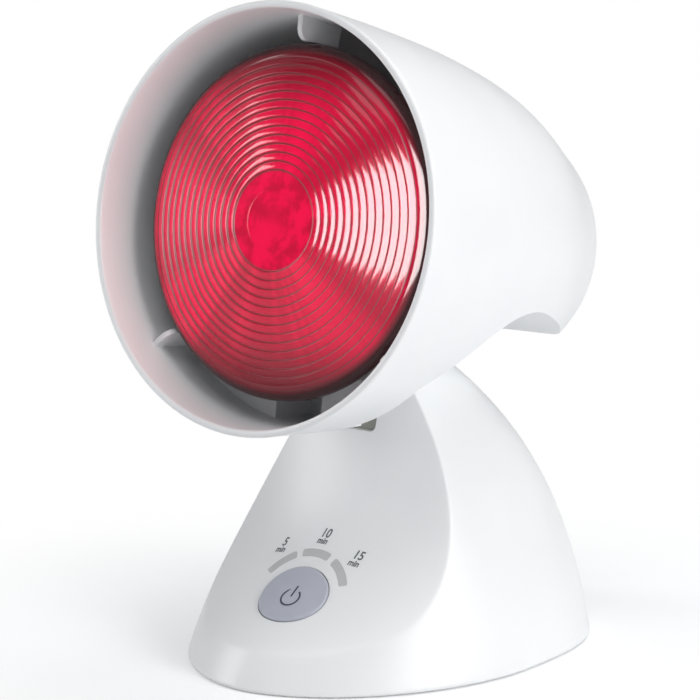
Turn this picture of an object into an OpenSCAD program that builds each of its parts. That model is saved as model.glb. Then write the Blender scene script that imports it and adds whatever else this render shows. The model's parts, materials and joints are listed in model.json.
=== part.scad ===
// Infrared heat therapy lamp for a table.
// A bullet-shaped shade holds a red pressed-glass reflector bulb and tilts on a hooded foot.
// Origin: middle of the part's box on the surface it stands on. -Y is the lit side, +Z is up.
// Millimetres and degrees.

/* [Shade] */
// Outer radius of the shade at its mouth
mouth_r = 73.5; // [70:0.5:80]
// Length of the shade along its own axis
shade_len = 174.2; // [168:0.2:185]
// How fast the shade starts to taper behind the mouth
shade_taper = 1.734; // [1.6:0.01:2.2]
// How blunt the back of the shade is
shade_blunt = 2.528; // [2.2:0.01:2.8]
// Wall of the shade
shade_wall = 2.5; // [2:0.1:3]
// Upward tilt of the shade as it stands
rest_tilt = 9; // [5:0.5:12]
// Height of the middle of the mouth
mouth_h = 161.4; // [158:0.2:166]
// Middle of the mouth, along Y
mouth_y = -80.3; // [-84:0.1:-76]
// Thickness of the three ribs that centre the bulb
rib_t = 2; // [1.6:0.1:3]
// Distance from the mouth to the front of the ribs
rib_front = 13.6; // [11:0.1:16]
// Length of the ribs along the shade
rib_len = 21; // [15:0.5:26]
// Angle of the two lower ribs away from straight down
rib_spread = 48; // [42:1:60]

/* [Scoop under the shade] */
// Radius of the arch over the neck
scoop_r = 51; // [48:0.5:54]
// Slope of the arch towards the mouth
scoop_front_slope = 43; // [38:1:46]
// Slope of the arch towards the back
scoop_rear_slope = 8.9; // [7:0.1:11]
// Distance from the mouth to the front wall of the scoop
scoop_front = 35; // [34:0.5:38]
// Highest point of the arch, below the shade's axis
scoop_top = 22.5; // [21.5:0.1:24]
// Distance from the mouth to the highest point of the arch
scoop_mid = 86.5; // [84:0.5:89]
// Wall of the scoop
scoop_wall = 2; // [1.6:0.1:2.4]
// Width of the channel in the scoop's front wall
channel_w = 20; // [16:0.5:24]
// Depth of that channel
channel_depth = 19; // [12:0.5:20]

/* [Bulb] */
// Widest radius of the bulb
bulb_r = 61; // [60:0.1:62]
// Distance from the mouth to the middle of the lens
lens_front = 9; // [7:0.1:11]
// Rise of the lens between its edge and its middle
lens_rise = 8.7; // [7:0.1:10]
// Depth of the reflector's curve behind the lens edge
bowl_depth = 60; // [56:0.5:61]
// Glass thickness
glass_t = 2.4; // [2:0.1:3]
// Spacing of the rings pressed into the lens
ring_pitch = 3; // [2.5:0.1:4]
// Radius of the smooth middle of the lens
lens_bare_r = 10.4; // [8:0.1:14]
// Radius of the metal skirt of the bulb
skirt_r = 20; // [18:0.1:20]
// Overall length of the bulb
bulb_len = 136; // [132:0.5:138]
// Radius of the screw cap
cap_r = 13.1; // [12.9:0.05:13.2]
// Length of the screw cap
cap_len = 22; // [20:0.5:24]

/* [Lamp holder] */
// Radius of the ceramic holder
holder_r = 21.5; // [20:0.1:22.5]
// Distance from the mouth to the back of the ceramic holder
holder_back = 150; // [148:0.2:151]
// Length of the ceramic holder
holder_len = 32.5; // [30:0.5:34]
// Thickness of the steel plate that carries the holder
frame_t = 1.5; // [1.2:0.1:2]
// Distance of the plate's screws from the axis
frame_screw_r = 29; // [28:0.2:30]

/* [Foot] */
// Half width of the foot at the table
foot_half_w = 65.6; // [62:0.2:70]
// Reach of the foot in front of its middle
foot_front = 82.2; // [80:0.2:85]
// Reach of the foot behind its middle
foot_rear = 74.2; // [72:0.2:80]
// Middle of the foot, along Y
foot_mid = -10.3; // [-11:0.1:-9]
// Height at which the foot's curves would close
foot_close = 121.5; // [119:0.5:126]
// Height of the top of the neck
neck_top = 114; // [112:0.5:115]
// Wall of the foot
foot_wall = 2.5; // [2:0.1:3]
// Rounding of the foot's bottom edge
foot_edge = 1.6; // [1:0.1:3]
// Radius of the hollow of the front panel, seen from the side
panel_r = 107; // [104:0.2:112]
// Radius of the bow of the front panel, seen from above
panel_bow = 116; // [100:1:150]
// Centre of the panel's hollow, in front of the foot's middle
panel_y = -126.5; // [-128:0.1:-125]
// Centre of the panel's hollow, above the table
panel_z = 112.4; // [110:0.1:114]

/* [Hinge] */
// Height of the tilt axis
pivot_h = 92; // [90:0.2:93]
// Tilt axis, along Y
pivot_y = -6; // [-7:0.1:-5]
// Radius of the tilt arm's hub
hub_r = 13.5; // [12:0.1:14]
// Width of the tilt arm
arm_w = 13; // [12:0.1:13.5]
// Radius of the hinge pin
pin_r = 3; // [2.5:0.05:3.5]
// Running gap between the hinge pin and its bushes
pin_gap = 0.05; // [0.02:0.01:0.08]
// Width of the slot in the neck
slot_w = 15; // [14.5:0.1:16]
// Lower edge of the slot, at the front
slot_low = 80.7; // [80:0.1:82]
// Thickness of the steel sides of the neck frame
cheek_t = 2; // [1.5:0.1:2.5]

/* [Button and lights] */
// Height of the middle of the button
button_h = 27.4; // [26:0.1:30]
// Width of the button
button_w = 27.2; // [25:0.2:29]
// Length of the button up the panel
button_l = 24.6; // [22:0.2:26]
// How far the button stands proud of the panel
button_proud = 0.9; // [0.6:0.1:1.2]
// Gap round the button
button_gap = 0.35; // [0.25:0.05:0.5]
// Radius of the ring of lights round the button
light_r = 18.7; // [17.6:0.1:19]
// Width of each light strip
light_w = 3; // [2.4:0.1:3.4]
// Angle that each light strip covers
light_span = 36.5; // [32:0.5:40]
// Angle between the middles of the light strips
light_step = 44; // [42:0.5:48]

/* [Inside the foot] */
// Thickness of the bottom plate
plate_t = 2.5; // [2:0.1:3]
// How far the rubber feet stand out of the bottom
pad_h = 0.5; // [0.4:0.1:1]
// Radius of the rubber feet
pad_r = 7; // [6:0.1:8]
// Thickness of the steel weight
weight_t = 8; // [6:0.5:10]
// Half width of the steel weight
weight_half_w = 34; // [30:0.5:36]
// Height of the power board above the bottom plate
board_lift = 16; // [15:0.5:18]
// Thickness of the circuit boards
board_t = 1.6; // [1.5:0.1:1.7]
// Radius of the hole in the cord inlet bush
inlet_r = 3.6; // [3.2:0.1:4]
// Height of the cord inlet
inlet_h = 14; // [13:0.2:15]
// Radius of the insulated leads
lead_r = 1.1; // [1:0.05:1.2]
// Half spacing across of the neck frame's screws
frame_screw_x = 17; // [15:0.5:18]
// Half spacing of those screws from front to back
frame_screw_y = 15; // [13:0.5:17]
// Width of the neck frame's base
frame_base_w = 46; // [42:0.5:50]
// Length of the neck frame's base
frame_base_l = 44; // [40:0.5:48]
// Half width of the neck frame's sides at the tilt axis
cheek_top = 10.5; // [9:0.1:11]
// Half width of the neck frame's sides at their foot
cheek_foot = 18; // [15:0.5:20]

/* [Power board] */
// Width of the power board
board_w = 56; // [54:0.5:58]
// Length of the power board
board_l = 30; // [29:0.5:31]
// Front edge of the power board, along Y
board_y = 25; // [24:0.5:25.5]
// Width of the transformer's core
transformer_w = 18; // [16:0.5:19]
// Length of the transformer's core
transformer_l = 20; // [18:0.5:20]
// Height of the transformer
transformer_h = 16; // [14:0.5:18]
// Width of the relay
relay_w = 17; // [15:0.5:18]
// Length of the relay
relay_l = 11; // [10:0.5:11]
// Height of the relay
relay_h = 15; // [12:0.5:16]
// Length of the fuse
fuse_l = 20; // [18:0.5:22]
// Radius of the fuse
fuse_r = 2.6; // [2.5:0.05:2.7]
// Width of the terminal block
terminal_w = 15; // [14:0.5:16]
// Length of the terminal block
terminal_l = 8; // [7:0.5:8]
// Height of the terminal block
terminal_h = 9; // [8:0.5:10]

/* [Hidden] */
$fn = 96;
// widths of the foot shrink as (1 - (z / close) ^ rise) ^ (1 / round)
side_rise = 1.244;
side_round = 1.3;
rear_rise = 3.024;
rear_round = 0.888;
front_rise = 1;
front_round = 1.259;
front_square = 1.83;
rear_square = 3.112;

fit_gap = 0.1;
plate_z = pad_h + 0.4;
floor_z = plate_z + plate_t;
frame_z = floor_z + weight_t;
screw_r = 1.4;
screw_hole_r = 1.5;
head_r = 2.8;
head_h = 1.8;
back_of_bulb = lens_front + bulb_len;
cap_start = back_of_bulb - cap_len - 5;
lens_edge = lens_front + lens_rise;
rim_w = 4;
skirt_start = lens_edge + bowl_depth * (1 - pow(skirt_r / bulb_r, 2));
skirt_straight = skirt_start + 28;
bulb_air = 2.5;
slot_floor_rear = 98;

// ---------- helpers ----------

// places things drawn along the shade: X across, Y back along its axis, Z up across it
module in_shade() {
    translate([0, mouth_y, mouth_h]) rotate([-rest_tilt, 0, 0]) children();
}

// turns a profile of [radius, distance] round the shade's axis
module turned(profile) {
    rotate([-90, 0, 0]) rotate_extrude() polygon(profile);
}

// a rod along the shade's axis
module rod(r, from, to) {
    translate([0, from, 0]) rotate([-90, 0, 0]) cylinder(r = r, h = to - from);
}

// a rod across, along X
module cross_rod(r, from, to) {
    translate([from, 0, 0]) rotate([0, 90, 0]) cylinder(r = r, h = to - from);
}

// a side outline of [y, z] carried across X
module across(from, to) {
    translate([from, 0, 0]) rotate([90, 0, 90]) linear_extrude(to - from) children();
}

// a flat plate with round corners
module soft_plate(w, l, t, r) {
    linear_extrude(t) {
        square([w - 2 * r, l], center = true);
        square([w, l - 2 * r], center = true);
        for (x = [-1, 1], y = [-1, 1])
            translate([x * (w / 2 - r), y * (l / 2 - r)]) circle(r, $fn = 32);
    }
}

// a screw with its head below the origin and its shank going up
module screw(shank) {
    translate([0, 0, -head_h]) cylinder(r = head_r, h = head_h, $fn = 32);
    cylinder(r = screw_r, h = shank, $fn = 32);
}

// a round wire through points: a smooth curve swept with eight sides
function cubic(p, i, t) =
    let (a = p[max(i - 1, 0)], b = p[i], c = p[i + 1], d = p[min(i + 2, len(p) - 1)])
    0.5 * (2 * b + (c - a) * t + (2 * a - 5 * b + 4 * c - d) * t * t
           + (3 * b - a - 3 * c + d) * t * t * t);
function smooth_path(p, n) =
    concat([for (i = [0 : len(p) - 2], k = [0 : n - 1]) cubic(p, i, k / n)], [p[len(p) - 1]]);
function unit(v) = v / norm(v);
module wire(points, r, steps = 4, sides = 8) {
    path = smooth_path(points, steps);
    n = len(path);
    rings = [for (i = [0 : n - 1])
        let (d = unit(path[min(i + 1, n - 1)] - path[max(i - 1, 0)]),
             u = unit(cross(d, abs(d[0]) > 0.9 ? [0, 1, 0] : [1, 0, 0])), w = cross(u, d))
        for (k = [0 : sides - 1]) path[i] + r * (cos(360 * k / sides) * u + sin(360 * k / sides) * w)];
    sleeve = [for (i = [0 : n - 2], k = [0 : sides - 1])
        let (a = i * sides + k, b = i * sides + (k + 1) % sides)
        for (f = [[a, b, b + sides], [a, b + sides, a + sides]]) f];
    ends = [[for (k = [sides - 1 : -1 : 0]) k], [for (k = [0 : sides - 1]) (n - 1) * sides + k]];
    polyhedron(rings, concat(sleeve, ends));
}

// ---------- the shade's outlines ----------

function shade_radius(s, t) =
    (mouth_r - t) * pow(1 - pow(min(s / (shade_len - t), 1), shade_taper), 1 / shade_blunt);
function shade_curve(t, n = 22) =
    [for (k = [0 : n]) let (s = (shade_len - t) * sin(90 * k / n)) [shade_radius(s, t), s]];

module shade_outer() {
    turned(concat([[0, 0], [mouth_r - 1.6, 0], [mouth_r - 0.5, 0.4], [shade_radius(1.5, 0), 1.5]],
                  [for (p = shade_curve(0)) if (p[1] > 3) p]));
}
module shade_inner() {
    turned(concat([[0, -1], [mouth_r - shade_wall, -1]], shade_curve(shade_wall)));
}

// radius of the bulb's glass and skirt at a distance from the mouth
function bulb_radius(s) =
    s < lens_edge ? bulb_r
    : s < skirt_start ? bulb_r * sqrt(1 - (s - lens_edge) / bowl_depth)
    : s < skirt_straight ? skirt_r
    : max(cap_r, skirt_r - (s - skirt_straight) * (skirt_r - cap_r) / (cap_start - skirt_straight));
module bulb_space(gap) {
    turned(concat([[0, lens_edge]],
                  [for (k = [0 : 24]) let (s = lens_edge + k * (cap_start - lens_edge) / 24)
                      [bulb_radius(s) + gap, s]],
                  [[0, cap_start]]));
}

// side outline of the scoop, grown by t: front wall, slope, arch and slope to the back
function scoop_side(front, t) =
    let (c = [scoop_mid, -scoop_top - scoop_r], r = scoop_r + t,
         a = c + r * [-sin(scoop_front_slope), cos(scoop_front_slope)],
         b = c + r * [sin(scoop_rear_slope), cos(scoop_rear_slope)],
         far = shade_len + 20)
    concat([[front - t, -mouth_r - 20],
            [front - t, a[1] - tan(scoop_front_slope) * (a[0] - front + t)]],
           [for (k = [0 : 12])
               let (w = -scoop_front_slope + k * (scoop_front_slope + scoop_rear_slope) / 12)
               c + r * [sin(w), cos(w)]],
           [[far, b[1] - tan(scoop_rear_slope) * (far - b[0])], [far, -mouth_r - 20]]);
module scoop(t) {
    edge = channel_w / 2 + scoop_wall - t;
    difference() {
        across(-mouth_r - 2, mouth_r + 2) polygon(scoop_side(scoop_front, t));
        translate([-edge, 0, -mouth_r - 30])
            cube([2 * edge, scoop_front + channel_depth - t, mouth_r + 30]);
    }
}

// height of the scoop's rear slope, grown by t
function slope_v(s, t) =
    -scoop_top - scoop_r + (scoop_r + t) * cos(scoop_rear_slope)
    - tan(scoop_rear_slope) * (s - scoop_mid - (scoop_r + t) * sin(scoop_rear_slope));

// tilt axis and the arm's seat, in the shade's own directions
pivot_s = (pivot_y - mouth_y) * cos(rest_tilt) + (mouth_h - pivot_h) * sin(rest_tilt);
pivot_v = (pivot_y - mouth_y) * sin(rest_tilt) - (mouth_h - pivot_h) * cos(rest_tilt);
seat_v = -scoop_top - 2.2;
seat_top = -scoop_top + 0.5;
seat_front = skirt_start + 3;
slope_start = scoop_mid + scoop_r * sin(scoop_rear_slope);
seat_back = slope_start + (slope_v(slope_start, 0) - seat_v - fit_gap) / tan(scoop_rear_slope);
seat_half_w = 14;
flange_t = 4;
arm_screw_x = 10;
arm_screw_s = [seat_front + 4, seat_back - 4];
lead_x = 3;
lead_hole_s = seat_back - 9;
lead_hole_r = lead_r + 1.2;
lead_window = lead_x + lead_hole_r;
hub_top = pivot_v + hub_r;

// opening for both leads through the shade's wall and its seat
module lead_opening() {
    from = lead_hole_s - lead_hole_r;
    translate([-lead_window, from, seat_v - 1]) cube([2 * lead_window, seat_back - from, 10]);
}

// ---------- shade body ----------

module rib(angle) {
    rotate([0, angle, 0])
        across(-rib_t / 2, rib_t / 2)
            polygon([[rib_front, -mouth_r], [rib_front, -bulb_r - 4], [rib_front + 4, -bulb_r - 1],
                     [rib_front + rib_len - 6, -bulb_r - 1], [rib_front + rib_len, -mouth_r + 2],
                     [rib_front + rib_len, -mouth_r]]);
}
function frame_screw_at() = [[frame_screw_r, 0], [-frame_screw_r, 0], [0, frame_screw_r]];

module shade() {
    color("white") in_shade() {
        difference() {
            union() {
                difference() {
                    shade_outer();
                    shade_inner();
                }
                intersection() {
                    turned(concat([[0, 0.5]], shade_curve(shade_wall / 2, 16)));
                    union() {
                        difference() {
                            scoop(scoop_wall);
                            bulb_space(bulb_air);
                        }
                        for (a = [180, rib_spread, -rib_spread]) rib(a);
                        for (p = frame_screw_at())
                            translate([p[0], 0, p[1]]) rod(4, holder_back + frame_t, shade_len);
                    }
                }
            }
            difference() {
                scoop(0);
                bulb_space(bulb_air + scoop_wall);
            }
            for (p = frame_screw_at())
                translate([p[0], 0, p[1]]) rod(screw_hole_r, holder_back, holder_back + frame_t + 6);
            lead_opening();
            for (x = [-1, 1], s = arm_screw_s)
                translate([x * arm_screw_x, s, seat_v - 1]) cylinder(r = screw_hole_r, h = 6);
        }
        difference() {
            translate([-seat_half_w, seat_front, seat_v])
                cube([2 * seat_half_w, seat_back - seat_front, seat_top - seat_v]);
            lead_opening();
            for (x = [-1, 1], s = arm_screw_s)
                translate([x * arm_screw_x, s, seat_v - 1]) cylinder(r = screw_hole_r, h = 6);
        }
    }
}

// ---------- bulb ----------

function lens_face(r) = lens_front + lens_rise * pow(r / bulb_r, 2) * 0.86;
module bulb_lens() {
    rings = floor((bulb_r - rim_w - lens_bare_r) / ring_pitch);
    outer = [for (k = [0 : 16]) let (r = (bulb_r - 1.5) * k / 16) [r, lens_face(r)]];
    ripples = [for (k = [rings * 2 : -1 : 0]) let (r = lens_bare_r + k * ring_pitch / 2)
        [r, lens_face(r) + glass_t + (k % 2 == 0 ? 0.5 : 0)]];
    color("crimson") in_shade()
        turned(concat(outer, [[bulb_r, lens_edge - 0.6], [bulb_r, lens_edge + rim_w / 2],
                              [bulb_r - rim_w, lens_edge + rim_w / 2]],
                      ripples, [[0, lens_front + glass_t + 0.5]]));
}
module bulb_bowl() {
    start = lens_edge + rim_w / 2;
    n = 18;
    outer = [for (k = [0 : n]) let (s = start + (skirt_start - start) * k / n)
        [bulb_radius(s + 0.001), s]];
    color("dimgray") in_shade()
        turned(concat(outer, [[skirt_r - 1, skirt_start], [skirt_r - 1, skirt_start + 6],
                              [skirt_r - 1 - glass_t, skirt_start + 6]],
                      [for (k = [n : -1 : 0]) outer[k] - [glass_t, k == 0 ? 0 : 1]]));
}
module bulb_skirt() {
    color("silver") in_shade()
        turned([[skirt_r, skirt_start], [skirt_r, skirt_straight], [cap_r, cap_start],
                [cap_r - 0.6, cap_start], [skirt_r - 0.8, skirt_straight - 0.4],
                [skirt_r - 0.8, skirt_start]]);
}
module bulb_cap() {
    turns = 6;
    color("silver") in_shade()
        turned(concat([[cap_r - 1.4, cap_start]],
                      [for (k = [0 : turns * 8])
                          [cap_r - 0.35 - 0.35 * cos(45 * k), cap_start + cap_len * k / (turns * 8)]],
                      [[cap_r - 1.4, cap_start + cap_len]]));
}
module bulb_insulator() {
    color("black") in_shade()
        turned([[0, cap_start + cap_len], [cap_r - 1, cap_start + cap_len],
                [5, back_of_bulb - 2], [0, back_of_bulb - 2]]);
}
module bulb_contact() {
    color("silver") in_shade()
        turned([[0, back_of_bulb - 2], [4.5, back_of_bulb - 2], [3.6, back_of_bulb - 0.5],
                [0, back_of_bulb]]);
}
module filament() {
    coil_s = lens_edge + bowl_depth * 0.62;
    color("gray") in_shade()
        translate([0, coil_s, 0]) cross_rod(0.9, -11, 11);
}
module filament_posts() {
    coil_s = lens_edge + bowl_depth * 0.62;
    color("gray") in_shade() {
        for (x = [-1, 1]) translate([x * 10.5, 0, 0]) rod(0.6, coil_s + 0.9, skirt_start + 3);
        rod(skirt_r - 1 - glass_t - 0.2, skirt_start + 3, skirt_start + 5);
    }
}

// ---------- lamp holder ----------

holder_screw_x = 12;
module lamp_holder() {
    color("ivory") in_shade() difference() {
        union() {
            rod(holder_r, holder_back - holder_len + 3, holder_back);
            rod(holder_r - 2.5, holder_back - holder_len, holder_back - holder_len + 3);
        }
        rod(cap_r + 1.5, holder_back - holder_len - 1, holder_back - 3);
        for (x = [-1, 1])
            translate([x * holder_screw_x, 0, 0]) rod(screw_hole_r, holder_back - 2, holder_back + 1);
    }
}
module holder_sleeve() {
    color("goldenrod") in_shade() difference() {
        rod(cap_r + 1.5 - fit_gap, holder_back - holder_len + 2, back_of_bulb - 1);
        rod(cap_r + 0.5, holder_back - holder_len + 1, back_of_bulb);
    }
}
module holder_contact() {
    color("goldenrod") in_shade()
        translate([-4, back_of_bulb + 0.2, -9]) cube([8, holder_back - 3 - back_of_bulb - 0.2, 18]);
}
module holder_frame() {
    color("lightgray") in_shade() difference() {
        union() {
            rod(holder_r - 2, holder_back, holder_back + frame_t);
            translate([-frame_screw_r, holder_back, -6]) cube([2 * frame_screw_r, frame_t, 12]);
            translate([-6, holder_back, 0]) cube([12, frame_t, frame_screw_r]);
            for (p = frame_screw_at())
                translate([p[0], 0, p[1]]) rod(6, holder_back, holder_back + frame_t);
        }
        for (p = frame_screw_at())
            translate([p[0], 0, p[1]]) rod(screw_hole_r, holder_back - 1, holder_back + frame_t + 1);
        for (x = [-1, 1])
            translate([x * holder_screw_x, 0, 0])
                rod(screw_hole_r, holder_back - 1, holder_back + frame_t + 1);
    }
}
module holder_frame_screws() {
    color("silver") in_shade()
        for (p = frame_screw_at())
            translate([p[0], holder_back, p[1]]) rotate([-90, 0, 0]) screw(frame_t + 5.5);
}
module holder_screws() {
    color("silver") in_shade()
        for (x = [-1, 1])
            translate([x * holder_screw_x, holder_back + frame_t, 0])
                rotate([90, 0, 0]) screw(frame_t + 1.8);
}
// each lead runs along the holder, over the scoop's wall, through the opening, down into the arm
module lamp_leads() {
    groove_v = seat_v - lead_r - 0.3;
    bore_x = lead_r + 0.4;
    side_x = 2 * lead_x;
    side_v = -sqrt(pow(holder_r + lead_r + 0.05, 2) - side_x * side_x);
    over_wall = [for (p = [[1.6, 10], [0.6, 3], [0.3, -2]])
        [lead_x + p[0], seat_back + p[1], slope_v(seat_back + p[1], scoop_wall) + lead_r + 0.2]];
    under_skirt = [lead_x + 0.1, seat_back - 5, -skirt_r - lead_r - 0.1];
    drop = under_skirt[2] - groove_v;
    color("whitesmoke") in_shade()
        for (m = [0, 1]) mirror([m, 0, 0])
            wire(concat([[side_x, holder_back - 8, side_v], [side_x, holder_back - 20, side_v],
                         [side_x - 0.4, holder_back - 28, side_v - 0.15]],
                        over_wall, [under_skirt],
                        [for (p = [[7, 0.82], [8.4, 0.5], [9.7, 0.14], [11.5, 0]])
                            [lead_x, seat_back - p[0], groove_v + drop * p[1]]],
                        [for (p = [[1, 7, 0], [0.7, 5, 0.1], [0.3, 3.5, 0.8], [0, 2, 2.4], [0, 0.8, 5],
                                   [0, 0, 9]])
                            [bore_x + p[0], pivot_s + p[1], groove_v - p[2]]],
                        [[bore_x, pivot_s, hub_top + 2]]), lead_r, 2);
}

// ---------- tilt arm and hinge ----------

module tilt_arm() {
    flange_v = seat_v - fit_gap;
    arm_half = 8;
    groove = lead_x + 1.6;
    color("gray") in_shade() difference() {
        union() {
            translate([-seat_half_w + 1, seat_front, flange_v - flange_t])
                cube([2 * seat_half_w - 2, seat_back - seat_front, flange_t]);
            translate([-arm_w / 2, pivot_s - arm_half, pivot_v])
                cube([arm_w, 2 * arm_half, flange_v - flange_t / 2 - pivot_v]);
            translate([0, pivot_s, pivot_v]) cross_rod(hub_r, -arm_w / 2, arm_w / 2);
        }
        translate([0, pivot_s, pivot_v]) cross_rod(pin_r + 2, -arm_w, arm_w);
        translate([0, pivot_s, hub_top]) cylinder(r = groove, h = 40);
        translate([-groove, pivot_s, flange_v - flange_t + 1])
            cube([2 * groove, lead_hole_s + lead_hole_r + 0.2 - pivot_s, 10]);
        for (x = [-1, 1], s = arm_screw_s)
            translate([x * arm_screw_x, s, flange_v - flange_t - 1])
                cylinder(r = screw_hole_r, h = flange_t + 2);
    }
}
module arm_screws() {
    color("silver") in_shade()
        for (x = [-1, 1], s = arm_screw_s)
            translate([x * arm_screw_x, s, seat_v - fit_gap - flange_t]) screw(flange_t + 4);
}
module hinge_bushes() {
    inner = arm_w / 2 - 5;
    color("goldenrod") translate([0, pivot_y, pivot_h])
        for (m = [0, 1]) mirror([m, 0, 0]) difference() {
            union() {
                cross_rod(pin_r + 2, inner, arm_w / 2 + 0.8);
                cross_rod(pin_r + 4, arm_w / 2, arm_w / 2 + 0.8);
            }
            cross_rod(pin_r + pin_gap, inner - 1, arm_w);
        }
}
cheek_in = arm_w / 2 + 0.8 + fit_gap;
module hinge_pin() {
    out = cheek_in + cheek_t;
    color("silver") translate([0, pivot_y, pivot_h]) difference() {
        union() {
            cross_rod(pin_r, -out, out + 2.2);
            cross_rod(pin_r + 1.5, -out - 1.5, -out);
        }
        translate([out + 0.9, 0, 0]) difference() {
            cross_rod(pin_r + 1, 0, 0.7);
            cross_rod(pin_r - 0.7, -1, 2);
        }
    }
}
module pin_clip() {
    out = cheek_in + cheek_t;
    color("dimgray") translate([out + 0.95, pivot_y, pivot_h]) difference() {
        cross_rod(pin_r + 1.8, 0, 0.6);
        cross_rod(pin_r - 0.6, -1, 2);
        translate([-1, -1.6, 0]) cube([3, 3.2, 9]);
    }
}
foot_frame_screw_at =
    [for (x = [-1, 1], y = [-1, 1]) [x * frame_screw_x, pivot_y + y * frame_screw_y]];
module neck_frame() {
    color("silver") {
        for (m = [0, 1]) mirror([m, 0, 0]) difference() {
            union() {
                across(cheek_in, cheek_in + cheek_t)
                    polygon([[pivot_y - cheek_foot, frame_z], [pivot_y + cheek_foot, frame_z],
                             [pivot_y + cheek_top, pivot_h], [pivot_y - cheek_top, pivot_h]]);
                translate([0, pivot_y, pivot_h]) cross_rod(cheek_top, cheek_in, cheek_in + cheek_t);
            }
            translate([0, pivot_y, pivot_h]) cross_rod(pin_r + 0.02, 0, 20);
        }
        difference() {
            translate([0, pivot_y, frame_z]) soft_plate(frame_base_w, frame_base_l, cheek_t, 5);
            for (p = foot_frame_screw_at)
                translate([p[0], p[1], frame_z - 1]) cylinder(r = screw_hole_r, h = 6);
        }
    }
}

// ---------- foot outlines ----------

function fall(z, rise, round_) = pow(max(1 - pow(max(z, 0) / foot_close, rise), 0), 1 / round_);
function edge_cut(z) =
    let (d = foot_edge - (z - pad_h))
    d <= 0 ? 0 : foot_edge - sqrt(max(foot_edge * foot_edge - d * d, 0));
function side_reach(z, t) = foot_half_w * fall(z, side_rise, side_round) - t;
function rear_reach(z, t) = foot_rear * fall(z, rear_rise, rear_round) - t;
function front_reach(z, t) = foot_front * fall(z, front_rise, front_round) - t;
function front_y(x, z, t) =
    foot_mid - front_reach(z, t) * pow(max(1 - pow(min(abs(x) / side_reach(z, t), 1), front_square), 0),
                                       1 / front_square);
// the panel is the inside of a ring: hollow from the side, bowed from above
function panel_at(x) = panel_r + panel_bow - sqrt(panel_bow * panel_bow - x * x);
function panel_face(x, z, t) = panel_y + sqrt(max(pow(panel_at(x) + t, 2) - pow(z - panel_z, 2), 0));
// half width of the panel at a height, found by halving
function panel_half(z, t, lo, hi, n = 18) =
    let (x = (lo + hi) / 2)
    n == 0 ? x
    : panel_face(x, z, t) > front_y(x, z, t) ? panel_half(z, t, x, hi, n - 1)
    : panel_half(z, t, lo, x, n - 1);
// lowest height at which the panel cuts the foot's front
function panel_low(t, lo, hi, n = 18) =
    let (z = (lo + hi) / 2)
    n == 0 ? z
    : panel_face(0, z, t) > front_y(0, z, t) ? panel_low(t, lo, z, n - 1)
    : panel_low(t, z, hi, n - 1);

front_cols = 8;
side_cols = 12;
rear_cols = 10;
ring_n = 2 * front_cols + 1 + side_cols + 2 * rear_cols + side_cols - 1;
min_half = 8;

// one level ring of the foot, counter-clockwise from the panel's left edge
function foot_ring(z, t) =
    let (w = side_reach(z, t), a = front_reach(z, t), b = rear_reach(z, t),
         h = min(max(panel_half(z, t, 0, w), min_half), w * 0.9),
         q = acos(pow(h / w, front_square / 2)))
    concat(
        [for (k = [-front_cols : front_cols]) let (x = h * k / front_cols)
            [x, max(panel_face(x, z, t), front_y(x, z, t)), z]],
        [for (k = [1 : side_cols]) let (u = q * (1 - k / side_cols))
            [w * pow(cos(u), 2 / front_square), foot_mid - a * pow(sin(u), 2 / front_square), z]],
        [for (k = [1 : 2 * rear_cols]) let (u = 90 * k / rear_cols)
            [w * sign(cos(u)) * pow(abs(cos(u)), 2 / rear_square),
             foot_mid + b * pow(max(sin(u), 0), 2 / rear_square), z]],
        [for (k = [1 : side_cols - 1]) let (u = q * k / side_cols)
            [-w * pow(cos(u), 2 / front_square), foot_mid - a * pow(sin(u), 2 / front_square), z]]);

// levels from the edge to the top, close together where the panel opens out
function foot_levels(low, t, top, n) =
    let (zc = panel_low(t, 5, 40))
    concat([for (k = [1 : 3]) low + (zc - low) * k / 3.2],
           [for (k = [0 : n]) zc + (top - zc) * pow(k / n, 2.2) * (0.72 + 0.28 * k / n)]);

// closed shell: outer rings up, inner rings down, open below
module foot_skin() {
    low_cuts = [0, 0.12, 0.4, 1];
    low = pad_h + foot_edge;
    outer = concat([for (f = low_cuts) let (z = pad_h + f * foot_edge) foot_ring(z, edge_cut(z))],
                   [for (z = foot_levels(low, 0, neck_top, 34)) foot_ring(z, 0)]);
    inner = [for (z = foot_levels(low, foot_wall, neck_top - foot_wall, 17)) foot_ring(z, foot_wall)];
    first = foot_ring(pad_h, foot_wall);
    rings = concat(outer, [for (k = [len(inner) - 1 : -1 : 0]) inner[k]], [first]);
    n_out = len(outer);
    total = len(rings);
    walls = [for (i = [0 : total - 1], k = [0 : ring_n - 1]) if (i != n_out - 1)
        let (a = i * ring_n + k, b = i * ring_n + (k + 1) % ring_n,
             c = ((i + 1) % total) * ring_n + (k + 1) % ring_n, d = ((i + 1) % total) * ring_n + k)
        for (f = [[a, d, c], [a, c, b]]) f];
    cap = [for (k = [1 : ring_n - 2]) let (o = (n_out - 1) * ring_n) [o, o + k + 1, o + k]];
    ceiling = [for (k = [1 : ring_n - 2]) let (o = n_out * ring_n) [o, o + k, o + k + 1]];
    polyhedron([for (r = rings, p = r) p], concat(walls, cap, ceiling));
}

// ---------- button place on the panel ----------

button_y = panel_face(0, button_h, 0);
button_lean = asin((panel_z - button_h) / panel_r);
panel_lean = 90 - button_lean;
// things drawn on the panel: X across, Y up the panel, Z out of it
module on_panel() {
    translate([0, button_y, button_h]) rotate([panel_lean, 0, 0]) children();
}
function panel_point(p) =
    [p[0], button_y + p[1] * cos(panel_lean) - p[2] * sin(panel_lean),
     button_h + p[1] * sin(panel_lean) + p[2] * cos(panel_lean)];
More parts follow.
